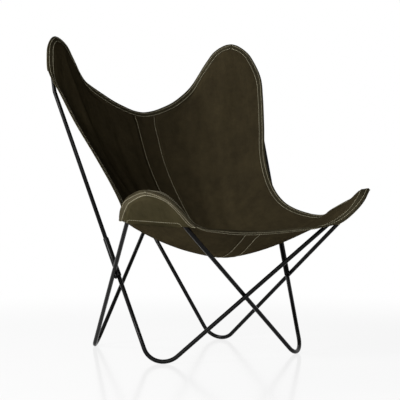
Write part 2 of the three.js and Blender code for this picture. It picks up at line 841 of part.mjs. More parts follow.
// Edge binding: a tape folded over the rim, with a fit gap to the canvas and at both ends
function bindingGeometry(stations) {
  const innerFace = canvasThick / 2 + fitGap;
  const outerFace = innerFace + bindingThick;
  const outerFold = fitGap + bindingThick;
  const count = stations.length - 1;
  const points = [];
  stations.forEach((station, k) => {
    const isEnd = k === 0 || k === 1 || k === count - 1 || k === count;
    const inset = isEnd ? (k <= 1 ? 1 : -1) * (fitGap / 2) : 0;
    const tip = k <= 1 ? stations[0] : stations[count];
    const rimInset = k === 0 || k === count ? inset : 0;
    const rim = (fold, height) => {
      const edge = along(station.rim, station.outwards, fold);
      return along(along(edge, tip.forwards, rimInset), station.rimNormal, height);
    };
    const ring = (height) => {
      return along(along(station.ring, tip.forwards, inset), station.ringNormal, height);
    };
    points.push(
      ring(outerFace),
      rim(outerFold, outerFace),
      rim(outerFold, -outerFace),
      ring(-outerFace),
      ring(-innerFace),
      rim(fitGap, -innerFace),
      rim(fitGap, innerFace),
      ring(innerFace),
    );
  });
  const corners = points.length / stations.length;
  const index = [];
  const same = (a, b) => points[a].distanceTo(points[b]) < fitGap / 100;
  const face = (a, b, c) => {
    if (!same(a, b) && !same(b, c) && !same(c, a)) {
      index.push(a, b, c);
    }
  };
  for (let k = 0; k < count; k++) {
    for (let corner = 0; corner < corners; corner++) {
      const next = (corner + 1) % corners;
      const [a, b] = [k * corners + corner, k * corners + next];
      const [c, d] = [a + corners, b + corners];
      const rimFirst = corner % 4 === 2;
      const fromTip = k < count / 2;
      if (rimFirst === fromTip) {
        face(a, b, d);
        face(a, d, c);
      } else {
        face(a, b, c);
        face(b, d, c);
      }
    }
  }
  for (const [start, turn] of [[0, 1], [count * corners, -1]]) {
    const cap = [[0, 1, 7], [1, 6, 7], [1, 2, 6], [2, 5, 6], [2, 3, 5], [3, 4, 5]];
    for (const corner of cap) {
      const [a, b, c] = turn > 0 ? [...corner].reverse() : corner;
      index.push(start + a, start + b, start + c);
    }
  }
  return closedGeometry(points, index);
}

// Stations of an edge from its start to a length along the rim
function stationsUpTo(stations, length) {
  const kept = [stations[0]];
  let run = 0;
  for (let k = 1; k < stations.length; k++) {
    const step = stations[k].rim.distanceTo(stations[k - 1].rim);
    if (run + step < length) {
      kept.push(stations[k]);
      run += step;
      continue;
    }
    const share = (length - run) / step;
    const end = {};
    for (const name of ["rim", "ring", "rimNormal", "ringNormal"]) {
      end[name] = between(stations[k - 1][name], stations[k][name], share);
    }
    kept.push(end);
    break;
  }
  return kept;
}

// Ear pocket: from a flange under the binding round the outside of the rod,
// then flat under the ear to the pocket's mouth
function pocketGeometry(frame, outerStations, innerStations) {
  const stations = [...outerStations.slice(1).reverse(), ...innerStations];
  const rims = stations.map((station) => station.rim);
  const spokes = rims.map((rim) => placeOnEar(frame, rim).away);
  const widest = Math.max(...spokes.slice(1).map((spoke, k) => spoke.angleTo(spokes[k])));
  const facetSlack = (frame.radius + rodRadius) * (1 - Math.cos(widest / 2));
  const depth = canvasThick / 2 + fitGap + bindingThick + seamRoom;
  const lengths = runningLengths(rims);
  const whole = lengths[lengths.length - 1];
  const layer = (outer) => {
    const round = rodRadius + fitGap + facetSlack + outer * pocketThick;
    const under = depth + outer * pocketThick;
    const flange = (station, inwards) => {
      const share = inwards / bindingWidth;
      const normal = between(station.rimNormal, station.ringNormal, share).normalize();
      return along(between(station.rim, station.ring, share), normal, -under);
    };
    const places = stations.map((station) => {
      return placeOnEar(frame, flange(station, pocketFlange), pocketRakeShare);
    });
    const toWorld = (flat, off) => {
      const point = along(frame.centre, frame.up, flat.x);
      return along(along(point, frame.out, flat.y), frame.face, off);
    };
    const mouthEnd = (place) => place.near.clone().addScaledVector(place.away, -pocketHem);
    const mouthStart = mouthEnd(places[0]);
    const mouthStop = mouthEnd(places[places.length - 1]);
    return stations.map((station, k) => {
      const { near, away, outside, off } = places[k];
      const inSection = (x, y) => toWorld(near.clone().addScaledVector(away, x), y);
      const touch = Math.atan2(off, outside) - Math.acos(round / Math.hypot(outside, off));
      const wrap = touch + Math.PI / 2;
      const turn = wrap > 0 ? wrap / pocketTurnSteps : wrap;
      const onRound = (angle) => {
        const radius = round / Math.cos(turn / 2);
        return inSection(radius * Math.cos(angle), radius * Math.sin(angle));
      };
      const points = [flange(station, fitGap), flange(station, pocketFlange)];
      for (let step = 1; step <= pocketTurnSteps; step++) {
        if (wrap > 0) {
          points.push(onRound(touch - (step - 1 / 2) * turn));
        } else {
          points.push(between(points[1], onRound(touch - turn / 2), step / pocketTurnSteps));
        }
      }
      points.push(toWorld(mouthStart.clone().lerp(mouthStop, lengths[k] / whole), -round));
      return points;
    });
  };
  return sheetGeometry(layer(0), layer(1), () => true);
}

// Mirrors a geometry to the other side and keeps its faces pointing out
function mirroredGeometry(geometry) {
  const position = geometry.attributes.position;
  const points = [];
  for (let k = 0; k < position.count; k++) {
    points.push(mirrored(new THREE.Vector3().fromBufferAttribute(position, k)));
  }
  return closedGeometry(points, [...geometry.index.array]);
}

// Finishes
function rodPaint() {
  return new THREE.MeshStandardMaterial({ color: 0x1a1b1d, roughness: 0.4, metalness: 0.4 });
}

function sleevePaint() {
  return new THREE.MeshStandardMaterial({ color: 0x1d1e20, roughness: 0.5, metalness: 0.35 });
}

function weldPaint() {
  return new THREE.MeshStandardMaterial({ color: 0x202123, roughness: 0.6, metalness: 0.3 });
}

function canvas() {
  return new THREE.MeshStandardMaterial({ color: 0x332d1e, roughness: 0.92, metalness: 0 });
}

function pocketCanvas() {
  return new THREE.MeshStandardMaterial({ color: 0x3b3624, roughness: 0.92, metalness: 0 });
}

function bindingTape() {
  return new THREE.MeshStandardMaterial({ color: 0x403b2a, roughness: 0.88, metalness: 0 });
}

const chair = new THREE.Group();

function addPiece(group, name, geometry, material) {
  const mesh = new THREE.Mesh(geometry, material);
  mesh.name = name;
  group.add(mesh);
}

// Middle of the sleeve on a leg, from the point where another rod crosses it
function sleeveOn(foot, ear, crossingPoint, start) {
  const direction = towards(foot, ear);
  return { middle: along(crossingPoint, direction, start + sleeveLength / 2), direction };
}

// All sleeves: two at the sides, where the front ear's rod crosses, and two at the back
function sleevePlaces() {
  const side = (isLeft) => {
    const corners = sideCorners(isLeft);
    const { frontFoot, rearEar, rearFoot, frontEar } = corners;
    const [onLeg] = crossing(frontFoot, rearEar, rearFoot, frontEar);
    return sleeveOn(frontFoot, rearEar, onLeg, -sideSleeveBelow);
  };
  const toRight = ({ middle, direction }) => {
    return { middle: mirrored(middle), direction: mirrored(direction) };
  };
  const [onRight, onLeft] = crossing(feet.rearRight, ears.rearLeft, feet.rearLeft, ears.rearRight);
  return {
    sideLeft: side(true),
    sideRight: toRight(side(false)),
    backLeft: sleeveOn(feet.rearRight, ears.rearLeft, onRight, backSleeveAbove),
    backRight: sleeveOn(feet.rearLeft, ears.rearRight, onLeft, backSleeveAbove),
  };
}

const sleeves = sleevePlaces();

// Each lower rod makes a foot at both ends and a front ear between them, and ends in two sleeves
function addLowerRods(group) {
  const endIn = ({ middle, direction }) => along(middle, direction, -fitGap / 2);
  const radii = [footBend, frontEarBend, footBend];
  const rightEar = [
    endIn(sleeves.sideLeft), feet.frontLeft, ears.frontRight, feet.rearRight, endIn(sleeves.backLeft),
  ];
  const leftEar = [
    endIn(sleeves.sideRight), feet.frontRight, ears.frontLeft, feet.rearLeft, endIn(sleeves.backRight),
  ];
  addPiece(group, "lower_rod_right_ear", rodGeometry(rightEar, radii), rodPaint());
  addPiece(group, "lower_rod_left_ear", rodGeometry(leftEar, radii), rodPaint());
}

// Each rear hoop stands in a side sleeve and a back sleeve
function addRearHoops(group) {
  const startIn = ({ middle, direction }) => along(middle, direction, fitGap / 2);
  const radii = [kneeBend, rearEarBend, kneeBend];
  for (const isLeft of [true, false]) {
    const { rear } = earFrames(sideCorners(isLeft));
    const place = isLeft ? (point) => point : mirrored;
    const knees = [place(rear.outerEnd), place(rear.corner), place(rear.innerEnd)];
    const outerEnd = startIn(isLeft ? sleeves.sideLeft : sleeves.sideRight);
    const innerEnd = startIn(isLeft ? sleeves.backLeft : sleeves.backRight);
    const geometry = rodGeometry([outerEnd, ...knees, innerEnd], radii);
    addPiece(group, isLeft ? "rear_hoop_left" : "rear_hoop_right", geometry, rodPaint());
  }
}

function addSleeves(group) {
  const names = {
    side_sleeve_left: sleeves.sideLeft,
    side_sleeve_right: sleeves.sideRight,
    back_sleeve_left: sleeves.backLeft,
    back_sleeve_right: sleeves.backRight,
  };
  for (const [name, { middle, direction }] of Object.entries(names)) {
    addPiece(group, name, sleeveGeometry(middle, direction), sleevePaint());
  }
}

function addWelds(group) {
  const { frontLeft, frontRight, rearLeft, rearRight } = feet;
  const places = {
    weld_front: [frontLeft, ears.frontRight, frontRight, ears.frontLeft],
    weld_back: [rearRight, ears.rearLeft, rearLeft, ears.rearRight],
    weld_side_left: [frontLeft, ears.rearLeft, rearLeft, ears.frontLeft, sleeves.sideLeft],
    weld_side_right: [frontRight, ears.rearRight, rearRight, ears.frontRight, sleeves.sideRight],
  };
  for (const [name, place] of Object.entries(places)) {
    addPiece(group, name, weldGeometry(...place), weldPaint());
  }
}

function addCanvas(group) {
  const left = panelGeometry(0, panelColumns);
  addPiece(group, "canvas_panel_left", left, canvas());
  addPiece(group, "canvas_panel_right", mirroredGeometry(left), canvas());
  const band = panelGeometry(panelColumns, panelColumns + 2);
  addPiece(group, "canvas_centre_band", band, canvas());
}

function addBindings(group) {
  const left = bindingGeometry(leftStations());
  addPiece(group, "side_binding_left", left, bindingTape());
  addPiece(group, "side_binding_right", mirroredGeometry(left), bindingTape());
  addPiece(group, "back_binding", bindingGeometry(backStations()), bindingTape());
  addPiece(group, "front_binding", bindingGeometry(hemStations()), bindingTape());
}

function addPockets(group) {
  const back = backStations();
  const hem = hemStations();
  const side = leftStations();
  const frontUp = [...side].reverse();
  for (const isLeft of [true, false]) {
    const frames = earFrames(sideCorners(isLeft));
    const rear = pocketGeometry(
      frames.rear, stationsUpTo(side, rearPocketOuter), stationsUpTo(back, rearPocketInner),
    );
    const front = pocketGeometry(
      frames.front, stationsUpTo(frontUp, frontPocketOuter), stationsUpTo(hem, frontPocketInner),
    );
    const placed = isLeft ? (geometry) => geometry : mirroredGeometry;
    const sideName = isLeft ? "left" : "right";
    addPiece(group, "rear_pocket_" + sideName, placed(rear), pocketCanvas());
    addPiece(group, "front_pocket_" + sideName, placed(front), pocketCanvas());
  }
}

addLowerRods(chair);
addRearHoops(chair);
addSleeves(chair);
addWelds(chair);
addCanvas(chair);
addBindings(chair);
addPockets(chair);

// The origin lies on the floor below the middle of the whole chair
const reach = new THREE.Box3().setFromObject(chair);
const middle = reach.getCenter(vec(0, 0, 0));
chair.position.set(-middle.x, -middle.y, -reach.min.z);

export default chair;
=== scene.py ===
"""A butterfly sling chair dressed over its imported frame: bent rod, sleeves and a sewn canvas sling.

Shapes are worked out in the part's own millimetres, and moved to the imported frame, in metres,
where each mesh is made. Left is -X and the front is -Y.
"""
import math

import bpy
import numpy as np
from mathutils import Matrix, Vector
from numpy.linalg import norm


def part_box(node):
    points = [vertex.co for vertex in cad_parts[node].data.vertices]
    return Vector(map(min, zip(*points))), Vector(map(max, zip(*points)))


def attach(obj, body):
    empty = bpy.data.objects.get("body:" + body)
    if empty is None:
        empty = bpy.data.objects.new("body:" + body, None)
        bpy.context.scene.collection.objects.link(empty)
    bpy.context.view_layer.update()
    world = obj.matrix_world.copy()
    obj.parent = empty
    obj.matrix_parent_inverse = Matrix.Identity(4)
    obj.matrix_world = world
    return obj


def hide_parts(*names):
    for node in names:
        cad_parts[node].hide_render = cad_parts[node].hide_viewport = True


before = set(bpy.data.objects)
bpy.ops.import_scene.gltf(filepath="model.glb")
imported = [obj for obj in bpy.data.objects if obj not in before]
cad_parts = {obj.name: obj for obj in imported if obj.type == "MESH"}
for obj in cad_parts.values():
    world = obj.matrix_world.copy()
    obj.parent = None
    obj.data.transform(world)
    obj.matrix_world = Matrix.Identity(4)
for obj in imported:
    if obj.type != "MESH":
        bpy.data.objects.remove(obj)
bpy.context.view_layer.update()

# The part's driving sizes, in millimetres
ROD_R, SLEEVE_R, FIT_GAP = 6.0, 8.0, 0.3
FOOT_X, FOOT_Y = 248.0, 237.0
FRONT_EAR, REAR_EAR = (385.0, 440.0, 519.0), (380.0, 380.0, 1058.0)
FOOT_BEND, FRONT_EAR_BEND, REAR_EAR_BEND, KNEE_BEND = 58.0, 56.0, 65.0, 40.0
KNEE_Z, HOOP_LEAN = 760.0, math.radians(12)
SLEEVE_LENGTH, SIDE_SLEEVE_BELOW, BACK_SLEEVE_ABOVE = 120.0, 8.0, 32.0
CANVAS_HALF, BINDING_THICK, BINDING_WIDTH = 1.2, 1.2, 16.0
CANVAS_LIFT, LIFT_SOFTNESS, LIFT_REACH_SHARE = 12.5, 6.0, 3.4
BAND_HALF_BACK, BAND_HALF_FRONT = 33.0, 22.0
POCKET_RAKE_SHARE = 1.5
SETTLE_ROUNDS, SETTLED_DECIMALS = 80, 2
FRONT, REAR, LEFT, RIGHT = -1, 1, -1, 1
SIDES = {"left": LEFT, "right": RIGHT}


def vec(x, y, z):
    return np.array([x, y, z], float)


# Canvas rim round each ear, in shares of the ear's bend radius: up, outwards, off its plane
REAR_RIM = [
    (-0.39, 1.64, 0.05), (0.32, 1.31, 0.02), (0.96, 0.86, 0.05), (1.36, 0.1, 0.16),
    (1.0, -0.62, 0.34), (0.33, -1.1, 0.38), (-0.7, -1.64, 0.5),
]
REAR_TIP = 3
FRONT_RIM = [
    (-1.59, 2.19, 0.88), (-0.93, 1.98, 0.74), (0, 1.55, 0.49), (0.98, 0.875, 0.15),
    (1.48, 0, 0.05), (1.26, -1.17, -0.28), (0.65, -1.69, -0.43), (-0.45, -2.18, -0.36),
]
FRONT_TIP = 4
# Side edge, in shares of the chord between two ears: along, inwards, sag
SIDE_EDGE = [
    (0.125, 0.022, 0.024), (0.28, 0.054, 0.064), (0.506, 0.108, 0.108),
    (0.727, 0.125, 0.115), (0.864, 0.097, 0.085),
]
# Back and front edges, in shares of their outer end's distance from the middle: out, down, back
BACK_EDGE = [(0.79, 0.17, -0.084), (0.463, 0.37, -0.142), (0, 0.505, -0.116)]
HEM_EDGE = [(0.543, 0.062, 0.163), (0, 0.095, 0.33)]
# Middle line, in shares of its chord: along, sag
MIDDLE = [
    (0, 0), (0.095, 0.067), (0.189, 0.127), (0.298, 0.173), (0.385, 0.199), (0.488, 0.224),
    (0.594, 0.238), (0.696, 0.235), (0.789, 0.216), (0.862, 0.186), (0.908, 0.146),
    (0.946, 0.091), (0.974, 0.045), (1, 0),
]
BACK_CURVE, SEAT_CURVE, CURVE_CHANGE = 2.0, 1.6, (0.35, 0.75)
EDGE_CROWD, SIDE_CROWD, MIDDLE_CROWD = 1.25, 0.4, 0.15
COLUMNS, ROWS, CURVE_STEPS = 12, 36, 24


def unit(v):
    v = np.asarray(v, float)
    return v / np.maximum(norm(v, axis=-1, keepdims=True), 1e-9)


def mirrored(p):
    return np.asarray(p) * np.array([-1.0, 1.0, 1.0])


def on_side(point, side):
    """A point of the left half, or its mirror image on the right."""
    return point if side == LEFT else mirrored(point)


def smoothstep(value, low, high):
    t = np.clip((np.asarray(value, float) - low) / (high - low), 0, 1)
    return t * t * (3 - 2 * t)


def turned(v, axis, angle):
    return (v * math.cos(angle) + np.cross(axis, v) * math.sin(angle)
            + axis * axis.dot(v) * (1 - math.cos(angle)))


def nearest_points(p, u, q, v):
    w = p - q
    uv = u.dot(v)
    across = 1 - uv * uv
    s = (uv * v.dot(w) - u.dot(w)) / across
    t = (v.dot(w) - uv * u.dot(w)) / across
    return p + u * s, q + v * t


def crossing(foot_a, ear_a, foot_b, ear_b):
    return nearest_points(foot_a, unit(ear_a - foot_a), foot_b, unit(ear_b - foot_b))


def bend_frame(corner, outer_end, inner_end, radius, facing):
    outer, inner = unit(outer_end - corner), unit(inner_end - corner)
    half = math.acos(outer.dot(inner)) / 2
    up, out = -unit(outer + inner), unit(outer - inner)
    return {
        "corner": corner, "outer_end": outer_end, "inner_end": inner_end, "radius": radius,
        "half": half, "up": up, "out": out, "face": np.cross(up, out) * facing,
        "centre": corner - up * radius / math.sin(half),
    }


def bend_rise(corner, end_a, end_b, radius):
    """How far a bend's lowest centre-line point lies above the corner where its legs would meet."""
    a, b = unit(end_a - corner), unit(end_b - corner)
    half = math.acos(a.dot(b)) / 2
    middle, side = unit(a + b), unit(a - b)
    return radius / math.sin(half) * middle[2] - radius * math.hypot(middle[2], side[2])


def settle_corners():
    """Where the straight legs of each bend would meet.

    The feet stand on the floor. Of each pair of crossing rods one is moved forward and the other
    back, until they pass with the fit gap between them. The rear feet are moved sideways until
    the sleeves' rods do so too. The feet are given to a hundredth of a millimetre.
    """
    corners = [(end, side) for end in (FRONT, REAR) for side in (LEFT, RIGHT)]
    ears = {(end, side): vec(side, end, 1) * (FRONT_EAR if end == FRONT else REAR_EAR)
            for end, side in corners}
    feet = {(end, side): vec(side * FOOT_X, end * FOOT_Y, -FOOT_BEND / 2) for end, side in corners}
    shift = {FRONT: ROD_R, REAR: ROD_R}
    for _ in range(SETTLE_ROUNDS):
        for (end, side), foot in feet.items():
            foot[2] = ROD_R - bend_rise(foot, ears[-end, side], ears[end, -side], FOOT_BEND)
        for end in (FRONT, REAR):
            a, b = crossing(feet[end, LEFT], ears[end, RIGHT], feet[end, RIGHT], ears[end, LEFT])
            shift[end] += 2 * ROD_R + FIT_GAP - norm(a - b)
            feet[end, LEFT][1] = end * (FOOT_Y + shift[end])
            feet[end, RIGHT][1] = end * (FOOT_Y - shift[end])
        for side in (LEFT, RIGHT):
            a, b = crossing(feet[FRONT, side], ears[REAR, side], feet[REAR, side], ears[FRONT, side])
            pitch = norm(a - b) * np.sign(side * (b[0] - a[0]))
            feet[REAR, side][0] -= side * (pitch - SLEEVE_R - ROD_R - FIT_GAP)
    return ears, {corner: np.round(foot, SETTLED_DECIMALS) for corner, foot in feet.items()}


EARS, FEET = settle_corners()


def side_corners(side):
    """The corners that one side's rods run between, as if that side were the left one."""
    corners = {
        "front_ear": EARS[FRONT, side], "rear_ear": EARS[REAR, side],
        "front_foot": FEET[FRONT, side], "rear_foot": FEET[REAR, side],
        "far_front": FEET[FRONT, -side], "far_rear": FEET[REAR, -side],
    }
    return {name: on_side(corner, side) for name, corner in corners.items()}


def ear_frames(c):
    def knee_on(foot):
        return c["rear_ear"] + (foot - c["rear_ear"]) * (
            (c["rear_ear"][2] - KNEE_Z) / (c["rear_ear"][2] - foot[2]))

    outer_knee, inner_knee = knee_on(c["front_foot"]), knee_on(c["far_rear"])
    axis = unit(outer_knee - inner_knee)
    outer = turned(unit(c["rear_ear"] - c["front_foot"]), axis, -HOOP_LEAN)
    inner = turned(unit(c["rear_ear"] - c["far_rear"]), axis, -HOOP_LEAN)
    top, _ = nearest_points(outer_knee, outer, inner_knee, inner)
    rear = bend_frame(top, outer_knee, inner_knee, REAR_EAR_BEND, 1)
    front = bend_frame(c["front_ear"], c["rear_foot"], c["far_front"], FRONT_EAR_BEND, -1)
    return {"rear": rear, "front": front}


def cubic(start, end, leave, arrive, t):
    """A point of the curve from start to end that leaves and arrives with the given slopes."""
    return (start * (2 * t**3 - 3 * t**2 + 1) + leave * (t**3 - 2 * t**2 + t)
            + end * (3 * t**2 - 2 * t**3) + arrive * (t**3 - t**2))


def smooth_line(points, mirror_ends):
    """A smooth line through points, and the index of each point in it."""
    points = [np.asarray(p, float) for p in points]
    if mirror_ends:
        first, last = mirrored(points[1]), mirrored(points[-2])
    else:
        first, last = 2 * points[0] - points[1], 2 * points[-1] - points[-2]
    every = [first, *points, last]
    line, knots = [], []
    for k in range(1, len(every) - 2):
        p0, p1, p2, p3 = every[k - 1:k + 3]
        a, b, c = (math.sqrt(norm(q - p)) for p, q in ((p0, p1), (p1, p2), (p2, p3)))
        leave = ((p1 - p0) / a - (p2 - p0) / (a + b) + (p2 - p1) / b) * b
        arrive = ((p2 - p1) / b - (p3 - p1) / (b + c) + (p3 - p2) / c) * b
        knots.append(len(line))
        line += [cubic(p1, p2, leave, arrive, step / CURVE_STEPS) for step in range(CURVE_STEPS)]
    knots.append(len(line))
    line.append(every[-2])
    return np.array(line), knots


def running(line):
    return np.concatenate([[0], np.cumsum(norm(np.diff(line, axis=0), axis=1))])


def at_length(line, lengths, length):
    return np.stack([np.interp(length, lengths, line[:, k]) for k in range(3)], axis=-1)


def in_ear(f, up, out, off):
    """A point given by its distances up, outwards and off an ear's plane."""
    return f["centre"] + f["up"] * up + f["out"] * out + f["face"] * off


def rim_runs(frames):
    """The sling's left rim in three runs: along the back, the side and the front."""
    rear, front = ([in_ear(frames[end], *(s * frames[end]["radius"] for s in shares))
                    for shares in rim] for end, rim in (("rear", REAR_RIM), ("front", FRONT_RIM)))

    def free_edge(mouth, shares):
        return [vec(mouth[0] * out, mouth[1] - mouth[0] * back, mouth[2] + mouth[0] * down)
                for out, down, back in shares]

    back_edge, hem_edge = free_edge(rear[-1], BACK_EDGE), free_edge(front[-1], HEM_EDGE)
    chord = front[0] - rear[0]
    span = norm(chord)
    slack = unit(vec(0, chord[2], -chord[1]))
    slack = slack * -np.sign(slack[2])
    side_edge = [rear[0] + chord * s + vec(inward * span, 0, 0) + slack * sag * span
                 for s, inward, sag in SIDE_EDGE]
    before = len(back_edge) + len(rear) - 1 - REAR_TIP
    points = back_edge[::-1] + rear[::-1] + side_edge + front + hem_edge
    line, knots = smooth_line(points, True)
    tip_a = knots[before]
    tip_b = knots[before + REAR_TIP + len(side_edge) + 1 + FRONT_TIP]
    return line[:tip_a + 1][::-1], line[tip_a:tip_b + 1], line[tip_b:]


def cross_nodes(run, seam_x):
    """Nodes from an ear's tip to the seam, closer together at the tip, and one in the middle."""
    lengths = running(run)
    seam = np.interp(-seam_x, run[:, 0], lengths)
    nodes = at_length(run, lengths, (np.arange(COLUMNS + 1) / COLUMNS) ** EDGE_CROWD * seam)
    nodes[COLUMNS][0] = -seam_x
    return np.vstack([nodes, run[-1]])


def even_nodes(run, crowd):
    lengths = running(run)
    t = np.arange(ROWS + 1) / ROWS
    return at_length(run, lengths, (t - crowd * np.sin(2 * np.pi * t) / (2 * np.pi)) * lengths[-1])


def sling_columns(frames):
    back_run, side_run, hem_run = rim_runs(frames)
    back, hem = cross_nodes(back_run, BAND_HALF_BACK), cross_nodes(hem_run, BAND_HALF_FRONT)
    side = even_nodes(side_run, SIDE_CROWD)
    chord = hem[-1] - back[-1]
    below = vec(0, -chord[2], chord[1])
    middle_line, _ = smooth_line([back[-1] + chord * s + below * sag for s, sag in MIDDLE], False)
    middle = even_nodes(middle_line, MIDDLE_CROWD)
    grid = np.zeros((COLUMNS + 2, ROWS + 1, 3))
    down = np.arange(ROWS + 1) / ROWS
    seam_x = BAND_HALF_BACK + (BAND_HALF_FRONT - BAND_HALF_BACK) * down
    curve = BACK_CURVE + (SEAT_CURVE - BACK_CURVE) * smoothstep(down, *CURVE_CHANGE)
    for column in range(COLUMNS + 2):
        out = max(0, (COLUMNS - column) / COLUMNS)
        x = np.zeros(ROWS + 1) if column > COLUMNS else seam_x + (-side[:, 0] - seam_x) * out
        share = (-x / side[:, 0]) ** curve
        grid[column] = middle + (side - middle) * share[:, None]
        grid[column][:, 0] = -x
    return fit_to_rim(grid, back, hem, side)


def fit_to_rim(grid, back, hem, side):
    """Spreads the change that brings the edges to the rim evenly over the panel."""
    moves = np.zeros_like(grid)
    moves[:, 0] = back - grid[:, 0]
    moves[:, ROWS] = hem - grid[:, ROWS]
    moves[0, 1:ROWS] = side[1:ROWS] - grid[0, 1:ROWS]
    wide, tall = COLUMNS - 1, ROWS - 1
    rhs = np.zeros((wide, tall, 3))
    rhs[0] += moves[0, 1:ROWS]
    rhs[:, 0] += moves[1:COLUMNS, 0]
    rhs[:, -1] += moves[1:COLUMNS, ROWS]
    chain_wide, chain_tall = (2 * np.eye(n) - np.eye(n, k=1) - np.eye(n, k=-1) for n in (wide, tall))
    net = np.kron(chain_wide, np.eye(tall)) + np.kron(np.eye(wide), chain_tall)
    inner = np.linalg.solve(net, rhs.reshape(-1, 3))
    moves[1:COLUMNS, 1:ROWS] = inner.reshape(wide, tall, 3)
    return grid + moves


def place_on_ear(f, point, rake=0.0):
    """Nearest point of the rod in the ear's plane, the way out from it, and the distances."""
    rel = point - f["centre"]
    flat = np.array([rel.dot(f["up"]), rel.dot(f["out"])])
    off = rel.dot(f["face"])
    side = np.sign(flat[1]) or 1.0
    away = np.array([math.sin(f["half"]), side * math.cos(f["half"])])
    leg = np.array([-math.cos(f["half"]), side * math.sin(f["half"])])
    near = away * f["radius"]
    down = (flat - near).dot(leg)
    if down <= 0:
        away = unit(flat)
        near = away * f["radius"]
    outside = (flat - near).dot(away)
    near = near + leg * max(0, down - (rake * abs(off) if side > 0 else 0))
    return near, away, outside, off


def lift_over_ears(grid, frames):
    reach = LIFT_REACH_SHARE * CANVAS_LIFT
    for column in range(1, COLUMNS + 2):
        for row in range(1, ROWS):
            f = frames["rear"] if row < ROWS / 2 else frames["front"]
            _, _, outside, off = place_on_ear(f, grid[column, row])
            short = CANVAS_LIFT + LIFT_SOFTNESS - off
            if outside > reach or short < 0:
                continue
            deep = short > 2 * LIFT_SOFTNESS
            whole = CANVAS_LIFT - off if deep else short**2 / (4 * LIFT_SOFTNESS)
            grid[column, row] += f["face"] * whole * (1 - smoothstep(outside, 2 * ROD_R, reach))


def square_binding(grid):
    """Moves the first line of nodes inside the rim to the inner edge of the binding."""
    def place(column, row, edge, deeper, before, after):
        tangent = unit(after - before)
        inwards = deeper - edge
        inwards = unit(inwards - tangent * inwards.dot(tangent))
        grid[column, row] = edge + inwards * BINDING_WIDTH

    ends = ((0, 1), (ROWS, -1))
    beyond = np.concatenate([grid, mirrored(grid[COLUMNS])[None]])
    for column in range(2, COLUMNS + 2):
        before, here, after = beyond[column - 1:column + 2]
        for end, step in ends:
            place(column, end + step, here[end], here[end + 2 * step], before[end], after[end])
    for row in range(2, ROWS - 1):
        place(1, row, grid[0, row], grid[2, row], grid[0, row - 1], grid[0, row + 1])
    for end, step in ends:
        place(1, end + step, grid[0, end], grid[2, end + 2 * step], grid[0, end + step], grid[1, end])


def refine(lines, places):
    """Smooth points at fractional places along the first axis, through every given point."""
    step = np.diff(lines, axis=0)
    d = norm(step, axis=-1, keepdims=True)
    slope = step / d
    tangent = np.empty_like(lines)
    tangent[1:-1] = (d[1:] * slope[:-1] + d[:-1] * slope[1:]) / (d[1:] + d[:-1])
    tangent[0] = 1.5 * slope[0] - 0.5 * tangent[1]
    tangent[-1] = 1.5 * slope[-1] - 0.5 * tangent[-2]
    out = []
    for place in places:
        k = min(int(place), len(lines) - 2)
        out.append(cubic(lines[k], lines[k + 1], d[k] * tangent[k], d[k] * tangent[k + 1], place - k))
    return np.array(out)


RIM_CELL = [0, 0.04, 0.16, 0.35, 0.6, 0.85]    # shares of the binding's width, from the rim
SPLIT = 4                               # new cells in each cell of the part's own mesh
RIM = len(RIM_CELL)                     # index of the binding's inner edge
RIDGE, RIDGE_ROUND = 12.0, 2.5          # height of the ridge over a rear hoop's inner leg
RIDGE_OUTER, RIDGE_INNER = 60.0, 22.0   # how far it dies out towards the rim and the middle
RIDGE_ROWS = [6, 10, 15, 20, 28, 36]    # the crest's way through the left half's cells
RIDGE_COLUMNS = [10, 10.8, 14.6, 17.4, 20.2, 23.2]
RIDGE_END = (26, 46)                    # rows over which it dies out towards the seat
RIGHT_RIDGE_SHARE = 0.5
FOLD_HEIGHT, FOLD_CELLS = 2.0, 11.0     # the canvas's soft folds, and the cells in each
FOLD_SIDE, FOLD_END = (30, 44), (70, 112)      # cells from the middle, and rows, where they end
FOLD_LEAN, FOLD_WAVER, FOLD_CHANGE = 0.09, 2.2, 0.3


def fine_places(cells):
    middle = [1 + k / SPLIT for k in range((cells - 2) * SPLIT)]
    return RIM_CELL + middle + [cells - 1] + [cells - s for s in RIM_CELL[::-1]]


def ridge_heights(grid):
    """Height of the ridge where the canvas is drawn over the inner leg of the left rear hoop."""
    columns, rows = np.arange(grid.shape[0]), np.arange(grid.shape[1])
    across = grid_lengths(grid)[..., 0]
    crest_column = np.interp(rows, RIDGE_ROWS, RIDGE_COLUMNS)
    crest = np.array([np.interp(crest_column[row], columns, across[:, row]) for row in rows])
    past = across - crest
    width = np.where(past > 0, RIDGE_INNER, RIDGE_OUTER)
    height = RIDGE * np.exp((RIDGE_ROUND - np.hypot(past, RIDGE_ROUND)) / width)
    height *= smoothstep(columns, RIM, RIM + 3)[:, None]
    return height * smoothstep(rows, RIM - 1, RIM + 2) * (1 - smoothstep(rows, *RIDGE_END))


def soft_folds(grid):
    """Soft folds that hang from the back's upper edge and die out over the seat."""
    column, row = np.meshgrid(np.arange(grid.shape[0]), np.arange(grid.shape[1]), indexing="ij")
    side = np.abs(column - (grid.shape[0] - 1) / 2)
    # the folds lean outwards, waver a little and differ in height
    phase = (side + FOLD_LEAN * row + FOLD_WAVER * np.sin(row / 17 + column / 61)) / FOLD_CELLS
    change = 1 - FOLD_CHANGE + FOLD_CHANGE * np.sin(column / 9 + row / 13)
    height = FOLD_HEIGHT * change * np.sin(2 * math.pi * phase)
    height *= smoothstep(side, SPLIT, SPLIT + 6) * (1 - smoothstep(side, *FOLD_SIDE))
    height *= smoothstep(row, RIM, RIM + 14) * (1 - smoothstep(row, *FOLD_END))
    return grid + grid_normals(grid) * height[..., None]


